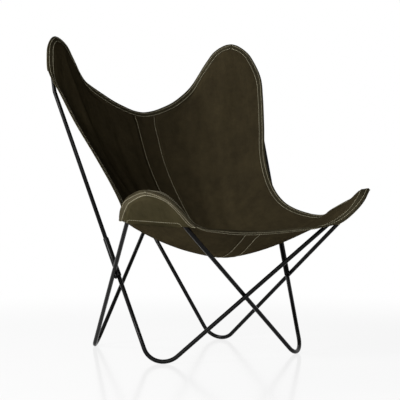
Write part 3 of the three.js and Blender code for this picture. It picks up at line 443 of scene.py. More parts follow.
def sling_grid():
    """The sling's middle surface, hung between the middles of the two sides' ears."""
    left, right = side_corners(LEFT), side_corners(RIGHT)
    frames = ear_frames({name: (left[name] + right[name]) / 2 for name in left})
    half = sling_columns(frames)
    lift_over_ears(half, frames)
    square_binding(half)
    lift_over_ears(half, frames)
    whole = np.concatenate([half, mirrored(half[:COLUMNS + 1][::-1])])
    rows = refine(np.swapaxes(whole, 0, 1), fine_places(ROWS))
    fine = refine(np.swapaxes(rows, 0, 1), fine_places(2 * COLUMNS + 2))
    ridge = ridge_heights(fine) + RIGHT_RIDGE_SHARE * ridge_heights(fine[::-1])[::-1]
    fine = fine + grid_normals(fine) * ridge[..., None]
    return soft_folds(fine)


def grid_normals(grid):
    """Normals of a grid, on the side that points up at its middle."""
    across, down = np.gradient(grid, axis=0), np.gradient(grid, axis=1)
    normals = unit(np.cross(across, down))
    middle = normals[grid.shape[0] // 2, grid.shape[1] // 2]
    return normals * np.sign(middle[2])


def grid_lengths(grid):
    """Cloth coordinates of a grid: millimetres across and along."""
    u = np.stack([running(grid[:, row]) for row in range(grid.shape[1])], axis=1)
    v = np.stack([running(line) for line in grid])
    return np.stack([u - u[len(u) // 2], v], axis=-1)


GRID = sling_grid()
NORMALS = grid_normals(GRID)
ACROSS = GRID.shape[0] - 1
SEAM = RIM + (COLUMNS - 1) * SPLIT      # index of the left seam
BAND = 2 * SPLIT                        # cells across the centre band


def placed(name, data):
    """A new object in the scene."""
    thing = bpy.data.objects.new(name, data)
    bpy.context.scene.collection.objects.link(thing)
    return thing


def new_object(name, points, faces, material, uv=None):
    mesh = bpy.data.meshes.new(name)
    metres = (np.asarray(points) + SHIFT) * 0.001
    mesh.from_pydata(metres.tolist(), [], [list(map(int, f)) for f in faces])
    if uv is not None:
        layer = mesh.uv_layers.new(name="cloth")
        loops = np.empty(len(mesh.loops), dtype=np.int32)
        mesh.loops.foreach_get("vertex_index", loops)
        layer.data.foreach_set("uv", (np.asarray(uv)[loops] * 0.001).ravel())
    mesh.validate()
    mesh.polygons.foreach_set("use_smooth", [True] * len(mesh.polygons))
    mesh.update()
    mesh.materials.append(material)
    return placed(name, mesh)


def dress(piece, node=None):
    """Puts a piece on the one body, and hides the imported part of a node if one is given."""
    if node:
        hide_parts(node)
    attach(piece, "root")
    return piece


def tube_faces(rings, sides, first=0, closed=False):
    """Faces of a tube of rings of points, with flat ends unless the last ring meets the first."""
    faces = []
    for k in range(rings if closed else rings - 1):
        here, ahead = first + k * sides, first + (k + 1) % rings * sides
        for a in range(sides):
            b = (a + 1) % sides
            faces.append((here + a, here + b, ahead + b, ahead + a))
    if not closed:
        last = first + (rings - 1) * sides
        faces.append(tuple(range(first, first + sides))[::-1])
        faces.append(tuple(range(last, last + sides)))
    return faces


def outward(points, faces):
    """The faces, turned so that a closed body points out."""
    points = np.asarray(points, float)
    volume = 0.0
    for f in faces:
        for k in range(1, len(f) - 1):
            volume += points[f[0]].dot(np.cross(points[f[k]], points[f[k + 1]]))
    return faces if volume > 0 else [tuple(reversed(f)) for f in faces]


def cloth_sheet(name, grid, front, back, material):
    """A closed sheet between two layers of a grid of nodes."""
    wide, tall = grid.shape[:2]
    points = np.concatenate([front.reshape(-1, 3), back.reshape(-1, 3)])
    count = wide * tall
    at = np.arange(count).reshape(wide, tall)
    faces = []
    for i in range(wide - 1):
        for j in range(tall - 1):
            quad = (at[i, j], at[i + 1, j], at[i + 1, j + 1], at[i, j + 1])
            faces.append(quad)
            faces.append(tuple(k + count for k in reversed(quad)))
    loop = [*at[:, 0], *at[-1, 1:], *at[:-1, -1][::-1], *at[0, 1:-1][::-1]]
    for a, b in zip(loop, loop[1:] + loop[:1]):
        faces.append((b, a, a + count, b + count))
    uv = grid_lengths(grid).reshape(-1, 2)
    return new_object(name, points, outward(points, faces), material, np.concatenate([uv, uv]))


def flat_size(name, grid):
    """Width, length and area of a sheet laid flat, in metres."""
    lengths = grid_lengths(grid) * 0.001
    wide, tall = (np.ptp(lengths[..., k], axis=k).max() for k in (0, 1))
    diagonals = grid[1:, 1:] - grid[:-1, :-1], grid[1:, :-1] - grid[:-1, 1:]
    area = 0.5 * norm(np.cross(*diagonals), axis=-1).sum() * 1e-6
    print("cloth", name, "flat", round(wide, 3), round(tall, 3), "area", round(area, 4))
    return wide, tall, area


def linear(*srgb):
    """An sRGB colour in 0 to 255 as a linear RGBA."""
    shares = (value / 255 for value in srgb)
    return (*(c / 12.92 if c <= 0.04045 else ((c + 0.055) / 1.055) ** 2.4 for c in shares), 1.0)


class Nodes:
    """Small helper that fills the node tree of a material or a world."""

    def __init__(self, owner):
        owner.use_nodes = True
        self.owner, self.tree = owner, owner.node_tree
        self.shader = self.tree.nodes.get("Principled BSDF")

    def feed(self, node, inputs):
        """Feeds a node's inputs: an output is linked, anything else is written."""
        for key, value in inputs.items():
            if isinstance(value, bpy.types.NodeSocket):
                self.tree.links.new(value, node.inputs[key])
            else:
                node.inputs[key].default_value = value

    def add(self, kind, *ordered, **named):
        """A new node, with its inputs in order or by name and its other settings by name."""
        node = self.tree.nodes.new("ShaderNode" + kind)
        for key in [key for key in named if key not in node.inputs]:
            setattr(node, key, named.pop(key))
        self.feed(node, {**dict(enumerate(ordered)), **named})
        return node

    def math(self, operation, *values):
        return self.add("Math", *values, operation=operation).outputs[0]

    def noise(self, place, scale, detail, roughness=0.55):
        node = self.add("TexNoise", place, Scale=scale, Detail=detail, Roughness=roughness)
        return node.outputs["Fac"]

    def ramp(self, fac, *stops):
        node = self.add("ValToRGB", fac)
        for element, (position, colour) in zip(node.color_ramp.elements, stops):
            element.position, element.color = position, colour
        return node.outputs["Color"]

    def bump(self, height, strength, distance, **under):
        node = self.add("Bump", Height=height, Strength=strength, Distance=distance, **under)
        return node.outputs["Normal"]


def new_material(name):
    """A new material's nodes, and the place they are evaluated at."""
    n = Nodes(bpy.data.materials.new(name))
    return n, n.add("TexCoord").outputs["Object"]


def painted_steel(name, shade, roughness, grain):
    """Satin black paint over steel: faint orange peel, a few rubbed places."""
    n, place = new_material(name)
    n.feed(n.shader, {
        "Base Color": n.ramp(n.noise(place, scale=22.0, detail=5.0),
                             (0.3, linear(shade - 3, shade - 3, shade - 3)),
                             (0.7, linear(shade + 5, shade + 5, shade + 4))),
        "Roughness": n.math("MULTIPLY_ADD", n.noise(place, scale=60.0, detail=3.0), 0.16,
                            roughness - 0.08),
        "Specular IOR Level": 0.09,
        "Normal": n.bump(n.noise(place, grain, detail=2.0), strength=0.12, distance=0.0004),
    })
    return n.owner


def cotton(name, dark, light, period=0.9, weave=0.5):
    """Matt, tightly woven cotton canvas: plain weave, slubs, uneven dye and shallow dents."""
    n, place = new_material(name)
    cloth = n.add("UVMap", uv_map="cloth").outputs["UV"]

    def stretched(across, along):
        return n.add("Mapping", cloth, Scale=(across, along, 1.0)).outputs["Vector"]

    split = n.add("SeparateXYZ", cloth).outputs
    turns = 2 * math.pi / (period * 0.001)
    warp, weft = (n.math("SINE", n.math("MULTIPLY", split[axis], turns)) for axis in "XY")
    threads = n.math("MULTIPLY", warp, weft)
    slub = n.noise(stretched(420.0, 26.0), scale=1.0, detail=3.0)
    broad, fine = n.noise(place, 7.0, 5.0, 0.6), n.noise(place, 55.0, 4.0, 0.6)
    tone = n.math("ADD", n.math("MULTIPLY", broad, 0.6), n.math("MULTIPLY", fine, 0.4))
    dye = n.ramp(tone, (0.36, linear(*dark)), (0.64, linear(*light)))
    pale = linear(*(min(255, c + 12) for c in light))
    colour = n.add("Mix", data_type="RGBA", Factor=n.math("MULTIPLY", slub, 0.22), A=dye, B=pale)
    folds = n.bump(n.noise(stretched(13.0, 4.5), scale=1.0, detail=2.0), 0.55, 0.012)
    dents = n.bump(n.noise(place, scale=16.0, detail=3.0), 0.3, 0.004, Normal=folds)
    height = n.math("ADD", n.math("MULTIPLY", threads, 0.5), n.math("MULTIPLY", slub, 0.5))
    n.feed(n.shader, {
        "Base Color": colour.outputs["Result"],
        "Roughness": 0.93,
        "Specular IOR Level": 0.0,
        "Normal": n.bump(height, weave, 0.0003, Normal=dents),
    })
    return n.owner


def sewing_thread(name):
    n, place = new_material(name)
    n.feed(n.shader, {
        "Base Color": n.ramp(n.noise(place, scale=40.0, detail=3.0),
                             (0.3, linear(150, 144, 120)), (0.7, linear(178, 171, 144))),
        "Roughness": 0.7,
        "Normal": n.bump(n.noise(place, scale=900.0, detail=2.0), strength=0.3, distance=0.0002),
    })
    return n.owner


ROD_PAINT = painted_steel("rod_paint", shade=8, roughness=0.24, grain=700.0)
SLEEVE_PAINT = painted_steel("sleeve_paint", shade=11, roughness=0.28, grain=600.0)
WELD_PAINT = painted_steel("weld_paint", shade=17, roughness=0.5, grain=260.0)
CANVAS = cotton("canvas", (45, 39, 27), (58, 51, 35))
POCKET_CANVAS = cotton("pocket_canvas", (50, 46, 30), (64, 58, 40))
BINDING = cotton("binding_canvas", (44, 40, 28), (60, 55, 41), period=0.7, weave=0.6)
# the tape over the pockets' edges is the binding canvas made paler: painted light where the ears'
# tips catch the lamp
POCKET_TAPE_PAINTED_LIGHT = cotton("pocket_tape_painted_light", (60, 55, 41), (79, 73, 57), period=0.7, weave=0.6)
THREAD = sewing_thread("stitch_thread")

BEND_STEP = math.radians(4)
ROD_SIDES, SLEEVE_SIDES = 28, 32
SLEEVE_EASE = [(0.7, 0.0), (0.2, 0.3), (0.0, 0.9)]    # below the outer radius, and in from the end
ASKEW = vec(0.3, 0.9, 0.31)                           # a direction that no rod runs along


def bent_stations(points, radii):
    """Centre line of a rod that runs straight between points and bends at each inner one."""
    stations = [(points[0], unit(points[1] - points[0]))]
    for k, radius in enumerate(radii):
        corner = points[k + 1]
        before, after = unit(points[k] - corner), unit(points[k + 2] - corner)
        half = math.acos(before.dot(after)) / 2
        inwards, forwards = unit(before + after), unit(after - before)
        centre = corner + inwards * radius / math.sin(half)
        turn = math.pi - 2 * half
        steps = 2 * math.ceil(turn / 2 / BEND_STEP)
        for step in range(steps + 1):
            angle = turn * (step / steps - 0.5)
            spoke = -inwards * math.cos(angle) + forwards * math.sin(angle)
            stations.append((centre + spoke * radius,
                             inwards * math.sin(angle) + forwards * math.cos(angle)))
    stations.append((points[-1], unit(points[-1] - points[-2])))
    return stations


def spokes(direction, normal, sides):
    """Unit spokes round a direction, the first along a normal to it."""
    angles = 2 * math.pi * np.arange(sides)[:, None] / sides
    return np.cos(angles) * normal + np.sin(angles) * np.cross(direction, normal)


def rod(name, points, bends):
    """A round rod with flat ends."""
    stations = bent_stations(points, bends)
    normal = unit(np.cross(stations[0][1], ASKEW))
    rings = []
    for point, direction in stations:
        normal = unit(normal - direction * normal.dot(direction))
        rings.extend(point + ROD_R * spokes(direction, normal, ROD_SIDES))
    faces = outward(rings, tube_faces(len(stations), ROD_SIDES))
    piece = new_object(name, rings, faces, ROD_PAINT)
    for polygon in list(piece.data.polygons)[-2:]:
        polygon.use_smooth = False
    return piece


def sleeve(name, middle, direction):
    """A tube with eased ends round the joint of two rods."""
    half = SLEEVE_LENGTH / 2
    end = [(ROD_R + FIT_GAP, -half)] + [(SLEEVE_R - r, z - half) for r, z in SLEEVE_EASE]
    profile = end + [(r, -z) for r, z in reversed(end)]
    ring = spokes(direction, unit(np.cross(direction, ASKEW)), SLEEVE_SIDES)
    points = np.concatenate([middle + direction * z + r * ring for r, z in profile])
    faces = outward(points, tube_faces(len(profile), SLEEVE_SIDES, closed=True))
    return new_object(name, points, faces, SLEEVE_PAINT)


def sleeve_places():
    """The middle of each sleeve and the way it runs."""
    def along(foot, ear, start, offset):
        direction = unit(ear - foot)
        return start + direction * (offset + SLEEVE_LENGTH / 2), direction

    out = {}
    for name, side in SIDES.items():
        c = side_corners(side)
        on_leg, _ = crossing(c["front_foot"], c["rear_ear"], c["rear_foot"], c["front_ear"])
        place = along(c["front_foot"], c["rear_ear"], on_leg, -SIDE_SLEEVE_BELOW)
        out["side_" + name] = [on_side(p, side) for p in place]
        foot, ear = FEET[REAR, -side], EARS[REAR, side]
        on_leg, _ = crossing(foot, ear, FEET[REAR, side], EARS[REAR, -side])
        out["back_" + name] = along(foot, ear, on_leg, BACK_SLEEVE_ABOVE)
    return out


SLEEVES = sleeve_places()
# from the part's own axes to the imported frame's, in millimetres: they differ along Y only
PACKED_MIDDLE = np.mean(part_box("side_sleeve_left"), axis=0) * 1000
SHIFT = vec(0, PACKED_MIDDLE[1] - SLEEVES["side_left"][0][1], 0)


def in_sleeve(which, way):
    """A rod's end in a sleeve, half the fit gap before or past the sleeve's middle."""
    middle, direction = SLEEVES[which]
    return middle + direction * way * FIT_GAP / 2


def build_frame():
    for (here, side), far in zip(SIDES.items(), ("right", "left")):
        points = [in_sleeve("side_" + here, -1), FEET[FRONT, side], EARS[FRONT, -side],
                  FEET[REAR, -side], in_sleeve("back_" + here, -1)]
        lower = rod(f"bent_rod_{far}_ear", points, [FOOT_BEND, FRONT_EAR_BEND, FOOT_BEND])
        dress(lower, f"lower_rod_{far}_ear")
    for name, side in SIDES.items():
        rear = ear_frames(side_corners(side))["rear"]
        knees = [on_side(rear[k], side) for k in ("outer_end", "corner", "inner_end")]
        points = [in_sleeve("side_" + name, 1), *knees, in_sleeve("back_" + name, 1)]
        hoop = rod("hoop_" + name, points, [KNEE_BEND, REAR_EAR_BEND, KNEE_BEND])
        dress(hoop, "rear_hoop_" + name)
        for kind in ("side", "back"):
            tube = sleeve(f"{kind}_tube_{name}", *SLEEVES[f"{kind}_{name}"])
            dress(tube, f"{kind}_sleeve_{name}")
    for node in ("weld_front", "weld_back", "weld_side_left", "weld_side_right"):
        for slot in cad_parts[node].material_slots:
            slot.material = WELD_PAINT


build_frame()

PANEL_HALF = 0.8          # half the canvas's thickness
SEAM_INSET = 0.25         # from a seam line to each panel's edge
BINDING_OUT = 2.3         # half the thickness of the bound edge
BINDING_END_GAP = 0.2     # between neighbouring bindings at the ears' tips
BINDING_STITCHES = (4.2, 14.2)
# The binding's section: distances in from the rim and heights over the sling's middle
BINDING_SECTION = [
    (16.0, 1.35), (15.7, 1.95), (15.0, 2.25), (12.0, 2.3), (7.0, 2.3), (3.0, 2.3), (0.8, 2.25),
    (-0.6, 1.85), (-1.4, 1.05), (-1.6, 0.0), (-1.4, -1.05), (-0.6, -1.85), (0.8, -2.25),
    (3.0, -2.3), (7.0, -2.3), (12.0, -2.3), (15.0, -2.25), (15.7, -1.95), (16.0, -1.35),
    (15.6, -1.1), (8.0, -1.1), (1.2, -1.1), (0.3, -0.6), (0.1, 0.0), (0.3, 0.6), (1.2, 1.1),
    (8.0, 1.1), (15.6, 1.1),
]
LAP_WIDTH, LAP_HEIGHT, LAP_LIFT = 5.6, 0.55, 0.05
# The lap's section: distances from the seam and heights over the panel
LAP_SECTION = [(0.3, 0.0), (0.45, 0.45), (1.1, LAP_HEIGHT), (LAP_WIDTH - 0.8, LAP_HEIGHT),
               (LAP_WIDTH - 0.15, 0.4), (LAP_WIDTH, 0.0)]
SEAM_GAP = 2.8            # from a seam to its stitches
STITCH_PITCH, STITCH_LENGTH, STITCH_R = 5.2, 4.1, 0.6
STITCH_SIDES, STITCH_FLATNESS, STITCH_DIP = 6, 0.75, 0.25
# A stitch's rings: places along it and thicknesses, in shares of its length and radius
STITCH_SHAPE = [(-0.5, 0.25), (-0.3, 1.0), (0.0, 1.15), (0.3, 1.0), (0.5, 0.25)]
AHEAD = 0.8               # how far on either side a stitch looks for its direction
# How far the thread's middle lies over the sling's bindings and hems, over laps and pocket
# bands, and over the ends of the bands
THREAD_LIFT, BAND_THREAD_LIFT, TACK_LIFT = 0.12, 0.15, 0.25


def make_panel(name, first, last, node):
    """One canvas panel between two columns of the grid, without the rim itself."""
    span = slice(max(first, 1), min(last, ACROSS - 1) + 1)
    grid, normals = GRID[span, 1:-1].copy(), NORMALS[span, 1:-1]
    if first > 0:
        grid[0, :, 0] += SEAM_INSET
    if last < ACROSS:
        grid[-1, :, 0] -= SEAM_INSET
    lift = normals * PANEL_HALF
    piece = cloth_sheet(name, grid, grid + lift, grid - lift, CANVAS)
    return dress(piece, node), flat_size(name, grid)


def edge_of(which):
    """Layers of nodes and normals from the rim inwards, along one edge of the sling."""
    edge = []
    for layers in (GRID, NORMALS):
        if which in ("back", "front"):
            layers = np.swapaxes(layers, 0, 1)
        if which in ("right", "front"):
            layers = layers[::-1]
        layers = layers[:RIM + 1].copy()
        # at the edge's ends the inner layers stop at the neighbouring edges' bindings
        for k in range(1, RIM + 1):
            layers[k, :k] = layers[k, k]
            layers[k, -k:] = layers[k, -k - 1]
        edge.append(layers)
    return edge


def edge_point(edge, inwards, height):
    """Points at a distance inwards from the rim and a height over the sling, all along an edge."""
    grid, normals = edge
    if inwards <= 0:
        out = unit(np.cross(np.gradient(grid[0], axis=0), normals[0]))
        out = out * np.sign(np.sum(out * (grid[0] - grid[-1]), axis=-1, keepdims=True))
        return grid[0] - out * inwards + normals[0] * height
    levels = [*RIM_CELL, 1.0]
    share = min(inwards / BINDING_WIDTH, 1)
    k = int(np.searchsorted(levels, share))
    t = (share - levels[k - 1]) / (levels[k] - levels[k - 1])
    normal = unit(normals[k - 1] * (1 - t) + normals[k] * t)
    return grid[k - 1] * (1 - t) + grid[k] * t + normal * height


def make_binding(name, which, node):
    edge = edge_of(which)
    rings = np.stack([edge_point(edge, *place) for place in BINDING_SECTION], axis=1)
    for end, inner in ((0, 1), (-1, -2)):
        rings[end] += unit(rings[inner] - rings[end]) * BINDING_END_GAP
    length, sides = rings.shape[:2]
    points = rings.reshape(-1, 3)
    section = running(np.array(BINDING_SECTION))
    uv = np.stack([np.tile(section, length), np.repeat(running(edge[0][0]), sides)], axis=-1)
    piece = new_object(name, points, outward(points, tube_faces(length, sides)), BINDING, uv)
    return dress(piece, node)


def stitch_rows(name, rows):
    """Thread stitches laid along rows, each a line of points and the normals under them."""
    points, faces = [], []
    angles = 2 * math.pi * np.arange(STITCH_SIDES)[:, None] / STITCH_SIDES
    for line, normals in rows:
        lengths = running(line)
        if lengths[-1] < 2 * STITCH_PITCH:
            continue
        places = np.arange(STITCH_PITCH, lengths[-1] - STITCH_PITCH / 2, STITCH_PITCH)
        centres = at_length(line, lengths, places)
        ahead, behind = (at_length(line, lengths, places + reach) for reach in (AHEAD, -AHEAD))
        over = unit(at_length(normals, lengths, places))
        for centre, forward, up in zip(centres, unit(ahead - behind), over):
            side = unit(np.cross(forward, up))
            faces += tube_faces(len(STITCH_SHAPE), STITCH_SIDES, first=len(points))
            for place, thick in STITCH_SHAPE:
                rise = np.sin(angles) * STITCH_FLATNESS * thick - STITCH_DIP * (1 - thick)
                points.extend(centre + forward * place * STITCH_LENGTH
                              + (side * np.cos(angles) * thick + up * rise) * STITCH_R)
    return dress(new_object(name, points, faces, THREAD))


def binding_stitches(name, which):
    edge = edge_of(which)
    return stitch_rows(name, [
        (edge_point(edge, inwards, side * (BINDING_OUT + THREAD_LIFT)), edge[1][0] * side)
        for inwards in BINDING_STITCHES for side in (1, -1)])


def beside_seam(column, lift):
    """The two faces' lines along a seam, at a height over the panels, and their normals."""
    for side in (1, -1):
        up = NORMALS[column, RIM:-RIM] * side
        yield GRID[column, RIM:-RIM] + up * (PANEL_HALF + lift), up


def seam_lap(name, column, towards):
    """The folded edge of a lapped seam: a narrow raised strip beside the seam, on both faces."""
    points, faces = [], []
    sides = len(LAP_SECTION)
    for line, ups in beside_seam(column, LAP_LIFT):
        strip = [place + vec(towards * across, 0, 0) + up * height
                 for place, up in zip(line, ups) for across, height in LAP_SECTION]
        own = outward(strip, tube_faces(len(line), sides))
        faces += [tuple(len(points) + k for k in face) for face in own]
        points += strip
    lengths = np.tile(np.repeat(running(GRID[column, RIM:-RIM]), sides), 2)
    return dress(new_object(name, points, faces, CANVAS, np.stack([lengths * 0, lengths], axis=-1)))


def seam_stitches(name, column, towards):
    """A row of stitches beside a seam, on both faces. towards is +1 or -1 in X."""
    return stitch_rows(name, [
        (line + vec(towards * SEAM_GAP, 0, 0), up)
        for line, up in beside_seam(column, LAP_HEIGHT + BAND_THREAD_LIFT)])


POCKET_THICK, POCKET_HEM, POCKET_FLANGE, POCKET_EASE, SEAM_ROOM = 1.1, 14.0, 3.0, 0.5, 1.2
POCKET_DEPTH = CANVAS_HALF + FIT_GAP + BINDING_THICK + SEAM_ROOM    # below the sling's middle
POCKETS = {"rear": (155.0, 175.0), "front": (232.0, 188.0)}         # lengths to either side of a tip
EDGE_SAMPLES, PATH_SAMPLES = 300, 100
TURN_STEPS, MOUTH_STEPS = 7, 4
BAND_SPREAD = 0.75        # how much wider a front pocket's band gets at its outer end
BAND_CLEAR, BAND_SEAT = 0.25, 0.15    # gaps between the band and the sling's binding, and the pocket
BAND_FOLD = 0.6           # the band's thickness at the rim
BAND_STITCHES = (3.6, 13.4)
BAND_TOP = 1.0
# The binding over a pocket's edge: distances from the rim and heights over the pocket
POCKET_BAND = [*((inwards, BAND_TOP) for inwards in (0.0, 2.0, 5.0, 8.0, 11.0, 14.0)),
               (15.4, 0.85), (16.0, 0.35)]
TACK_STATION = 1          # stations from a band's end to the row of stitches across it
TACK_REACH, TACK_POINTS = (2.0, 15.0), 12
HEM_STITCH = 19.0         # from the mouth's free edge to its stitches


def edge_up_to(edge, length, from_end):
    """Rim and ring of an edge, and their normals, from an ear's tip to a length along the rim."""
    grid, normals = (layers[:, ::-1] if from_end else layers for layers in edge)
    lengths = running(grid[0])
    places = np.append(lengths[lengths < length], length)
    return [at_length(line, lengths, places) for line in (grid[0], grid[-1], normals[0], normals[-1])]


def make_pocket(name, f, outer, inner, node):
    """A pocket from a flange under the binding, round the rod, and flat under the ear."""
    rim, ring, rim_normal, ring_normal = (np.concatenate([a[1:][::-1], b])
                                          for a, b in zip(outer, inner))
    lengths = running(rim)

    def layer(share):
        """The pocket's surface at a share of its thickness, from the rod outwards."""
        round_r = ROD_R + FIT_GAP + POCKET_EASE + share * POCKET_THICK

        def flange(inwards):
            t = inwards / BINDING_WIDTH
            normal = unit(rim_normal * (1 - t) + ring_normal * t)
            return rim * (1 - t) + ring * t - normal * (POCKET_DEPTH + share * POCKET_THICK)

        edges, bases = flange(FIT_GAP), flange(POCKET_FLANGE)
        places = [place_on_ear(f, base, POCKET_RAKE_SHARE) for base in bases]
        mouth = [near - away * POCKET_HEM for near, away, _, _ in (places[0], places[-1])]
        sheet = []
        for k, (near, away, outside, off) in enumerate(places):
            touch = math.atan2(off, outside) - math.acos(min(1, round_r / math.hypot(outside, off)))
            wrap = touch + math.pi / 2

            def on_round(angle):
                flat = near + away * round_r * math.cos(angle)
                return in_ear(f, *flat, round_r * math.sin(angle))

            line = [edges[k], bases[k]]
            for step in range(TURN_STEPS + 1):
                if wrap > 0:
                    line.append(on_round(touch - step * wrap / TURN_STEPS))
                else:
                    line.append(bases[k] + (on_round(touch) - bases[k]) * step / TURN_STEPS)
            along = mouth[0] + (mouth[1] - mouth[0]) * lengths[k] / lengths[-1]
            start, hem = line[-1], in_ear(f, *along, -round_r)
            line += [start + (hem - start) * step / MOUTH_STEPS for step in range(1, MOUTH_STEPS + 1)]
            sheet.append(line)
        return np.array(sheet)

    inside, outside = layer(0), layer(1)
    middle = (inside + outside) / 2
    # the binding over a front pocket widens from the ear's tip to the pocket's ends
    tip = lengths[len(outer[0]) - 1]
    spread = BAND_SPREAD if name.startswith("front") else 0.0
    widen = 1 + spread * (smoothstep(1 - lengths / tip, 0, 1)
                          + smoothstep((lengths - tip) / (lengths[-1] - tip), 0, 1) / 2)
    trims = pocket_trims(name, f, outside, unit(outside - inside), rim, rim_normal, widen)
    piece = cloth_sheet(name, middle, inside, outside, POCKET_CANVAS)
    return dress(piece, node), trims, flat_size(name, middle)


def pocket_trims(name, f, outside, facing, rim, rim_normal, widen):
    """The pocket's share of the edge binding, its stitches and the stitched hem of its mouth."""
    normal = grid_normals(outside)
    normal = normal * np.sign(np.sum(normal * facing, axis=-1, keepdims=True))
    rim_lengths = running(rim)
    edge = at_length(rim, rim_lengths, np.linspace(0, rim_lengths[-1], EDGE_SAMPLES))
    steps = np.linspace(0, 3 * BINDING_WIDTH, PATH_SAMPLES)
    sections = []
    for line, up in zip(outside, normal):
        path = at_length(line, running(line), steps)
        away = norm(path[:, None] - edge[None], axis=-1).min(axis=1)
        sections.append((line, up, np.maximum.accumulate(away)))

    def lifted(inwards, height):
        """Points of the pocket's outer face at a distance from the rim, raised by a height."""
        points = []
        for (line, up, away), wider in zip(sections, widen):
            lengths = running(line)
            at = np.interp(inwards * wider, away, steps)
            points.append(at_length(line, lengths, at) + unit(at_length(up, lengths, at)) * height)
        return np.array(points)

    fold = rim - rim_normal * (BINDING_OUT + BAND_CLEAR)
    under = np.array([fold] + [lifted(inwards, BAND_SEAT) for inwards, _ in POCKET_BAND])
    over = np.array([fold - rim_normal * BAND_FOLD] + [lifted(*place) for place in POCKET_BAND])
    # the band uses the paler copy of the binding canvas: painted light on the ears' tips
    band = cloth_sheet(name + "_binding", under, under, over, POCKET_TAPE_PAINTED_LIGHT)
    rows = []
    for inwards in BAND_STITCHES:
        over = lifted(inwards, BAND_TOP + BAND_THREAD_LIFT)
        rows.append((over, unit(over - lifted(inwards, 0.0))))
    # a tight row across each end of the band
    for end in (TACK_STATION, -1 - TACK_STATION):
        places = np.linspace(*TACK_REACH, TACK_POINTS)
        tack = np.array([lifted(place, BAND_TOP + TACK_LIFT)[end] for place in places])
        up = lifted(BINDING_WIDTH / 2, BAND_TOP)[end] - lifted(BINDING_WIDTH / 2, 0.0)[end]
        rows.append((tack, np.tile(unit(up), (TACK_POINTS, 1))))
    # the hem runs along the mouth at a fixed distance, and stops where the cloth is too narrow
    start, end = outside[:, -1 - MOUTH_STEPS], outside[:, -1]
    mouth = unit(end[-1] - end[0])
    reach = end - start
    depth = norm(reach - mouth * (reach @ mouth)[:, None], axis=-1)
    held = depth > HEM_STITCH / 5
    share = 1 - HEM_STITCH / np.maximum(depth, HEM_STITCH)
    down = np.tile(-f["face"], (held.sum(), 1))
    rows.append(((start + reach * share[:, None])[held] + down * THREAD_LIFT, down))
    return [dress(band), stitch_rows(name + "_stitches", rows)]


def flip(piece):
    """Mirrors a piece to the other side and keeps its faces pointing out."""
    mesh = piece.data
    for vertex in mesh.vertices:
        vertex.co.x = -vertex.co.x
    mesh.flip_normals()
    mesh.update()


def build_sling():
    panels = [make_panel("left_panel", 0, SEAM, "canvas_panel_left"),
              make_panel("centre_band", SEAM, SEAM + BAND, "canvas_centre_band"),
              make_panel("right_panel", SEAM + BAND, ACROSS, "canvas_panel_right")]
    nodes = {"left": "side_binding_left", "right": "side_binding_right", "back": "back_binding",
             "front": "front_binding"}
    bindings = {which: make_binding(which + "_edge_binding", which, nodes[which]) for which in nodes}
    stitches = {which: binding_stitches(which + "_edge_stitches", which) for which in nodes}
    seams = [seam_stitches("left_seam_stitches", SEAM, 1),
             seam_stitches("right_seam_stitches", SEAM + BAND, -1),
             seam_lap("left_seam_lap", SEAM, 1), seam_lap("right_seam_lap", SEAM + BAND, -1)]
    rims = {which: edge_of(which) for which in ("left", "back", "front")}
    for side_name, side in SIDES.items():
        frames = ear_frames(side_corners(side))
        for kind, across in (("rear", "back"), ("front", "front")):
            outer = edge_up_to(rims["left"], POCKETS[kind][0], kind == "front")
            inner = edge_up_to(rims[across], POCKETS[kind][1], False)
            piece, trims, size = make_pocket(f"{kind}_ear_pocket_{side_name}", frames[kind],
                                             outer, inner, f"{kind}_pocket_{side_name}")
            if side == RIGHT:
                for part in (piece, *trims):
                    flip(part)


build_sling()

WHITE = (1, 1, 1, 1)
FLOOR_REACH = 40.0
FLOOR_FADE = (0.8, 2.2, 0.8, 1.0)   # from and to these distances, from and to these shares of white


def seen_rays(n):
    """1 for a ray that shows a surface to the camera, also in gloss or through glass."""
    path = n.add("LightPath").outputs
    seen = n.math("MAXIMUM", path["Is Camera Ray"], path["Is Glossy Ray"])
    return n.math("MAXIMUM", seen, path["Is Transmission Ray"])


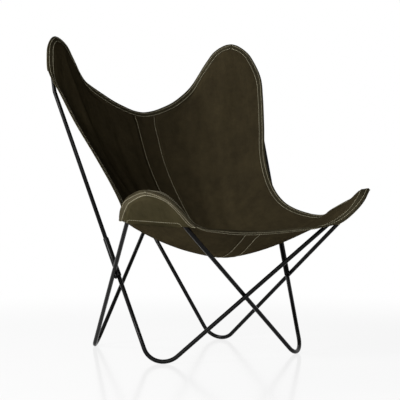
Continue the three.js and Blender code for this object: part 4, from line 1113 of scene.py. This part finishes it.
def floor():
    n, place = new_material("studio_floor")
    n.feed(n.shader, {
        "Base Color": n.ramp(n.noise(place, scale=1.2, detail=2.0),
                             (0.0, (0.82, 0.82, 0.82, 1)), (1.0, (0.85, 0.85, 0.85, 1))),
        "Roughness": 0.9,
        "Specular IOR Level": 0.0,
    })
    sheen = n.add("BsdfGlossy", Color=WHITE, Roughness=0.13).outputs[0]
    plain = n.add("MixShader", 0.5, n.shader.outputs[0], sheen).outputs[0]
    white = n.add("Emission", Color=WHITE, Strength=1.0).outputs[0]
    # the floor fades to the backdrop's white away from the chair
    far = n.add("VectorMath", place, operation="LENGTH").outputs["Value"]
    fade = n.add("MapRange", far, *FLOOR_FADE, interpolation_type="SMOOTHSTEP").outputs["Result"]
    mix = n.add("MixShader", n.math("MULTIPLY", seen_rays(n), fade), plain, white)
    n.feed(n.tree.nodes["Material Output"], {"Surface": mix.outputs[0]})
    mesh = bpy.data.meshes.new("studio_floor")
    corners = [(x * FLOOR_REACH, y * FLOOR_REACH, 0) for x, y in ((-1, -1), (1, -1), (1, 1), (-1, 1))]
    mesh.from_pydata(corners, [], [(0, 1, 2, 3)])
    mesh.materials.append(n.owner)
    placed("studio_floor", mesh)


def world_light():
    """A white backdrop that lights the chair only faintly."""
    n = Nodes(bpy.data.worlds.new("studio_world"))
    bpy.context.scene.world = n.owner
    n.tree.nodes.clear()
    soft = n.add("Background", Color=WHITE, Strength=0.04).outputs[0]
    white = n.add("Background", Color=WHITE, Strength=1.0).outputs[0]
    n.add("OutputWorld", n.add("MixShader", seen_rays(n), soft, white).outputs[0])


def aim(thing, place, target):
    forward = unit(target - place)
    right = unit(np.cross(forward, vec(0, 0, 1)))
    up = np.cross(right, forward)
    matrix = np.eye(4)
    matrix[:3, 0], matrix[:3, 1], matrix[:3, 2], matrix[:3, 3] = right, up, -forward, place
    thing.matrix_world = Matrix(matrix.tolist())


def lamp(name, place, target, size, power):
    data = bpy.data.lights.new(name, "AREA")
    data.shape, data.size, data.energy = "DISK", size, power
    aim(placed(name, data), vec(*place), vec(*target))


def camera():
    """The photograph's camera: its place, and a long lens for a 36 mm sensor."""
    data = bpy.data.cameras.new("camera")
    data.sensor_width, data.lens = 36.0, 136.02
    data.clip_end = 200.0
    eye = placed("camera", data)
    azimuth, elevation = math.radians(28.644), math.radians(1.161)
    place = vec(-2.1049, -3.8548, 0.5308)
    forward = vec(math.sin(azimuth) * math.cos(elevation), math.cos(azimuth) * math.cos(elevation),
                  -math.sin(elevation))
    aim(eye, place, place + forward)
    bpy.context.scene.camera = eye


floor()
world_light()
lamp("key", place=(-4.1, -0.25, 2.4), target=(0, 0, 0.45), size=1.6, power=165.0)
lamp("fill", place=(-2.7, -3.5, 1.7), target=(0, 0, 0.5), size=2.4, power=68.0)
lamp("back", place=(0.6, 3.4, 3.0), target=(0, 0, 0.5), size=2.2, power=30.0)
camera()
bpy.context.scene.view_settings.view_transform = "Standard"
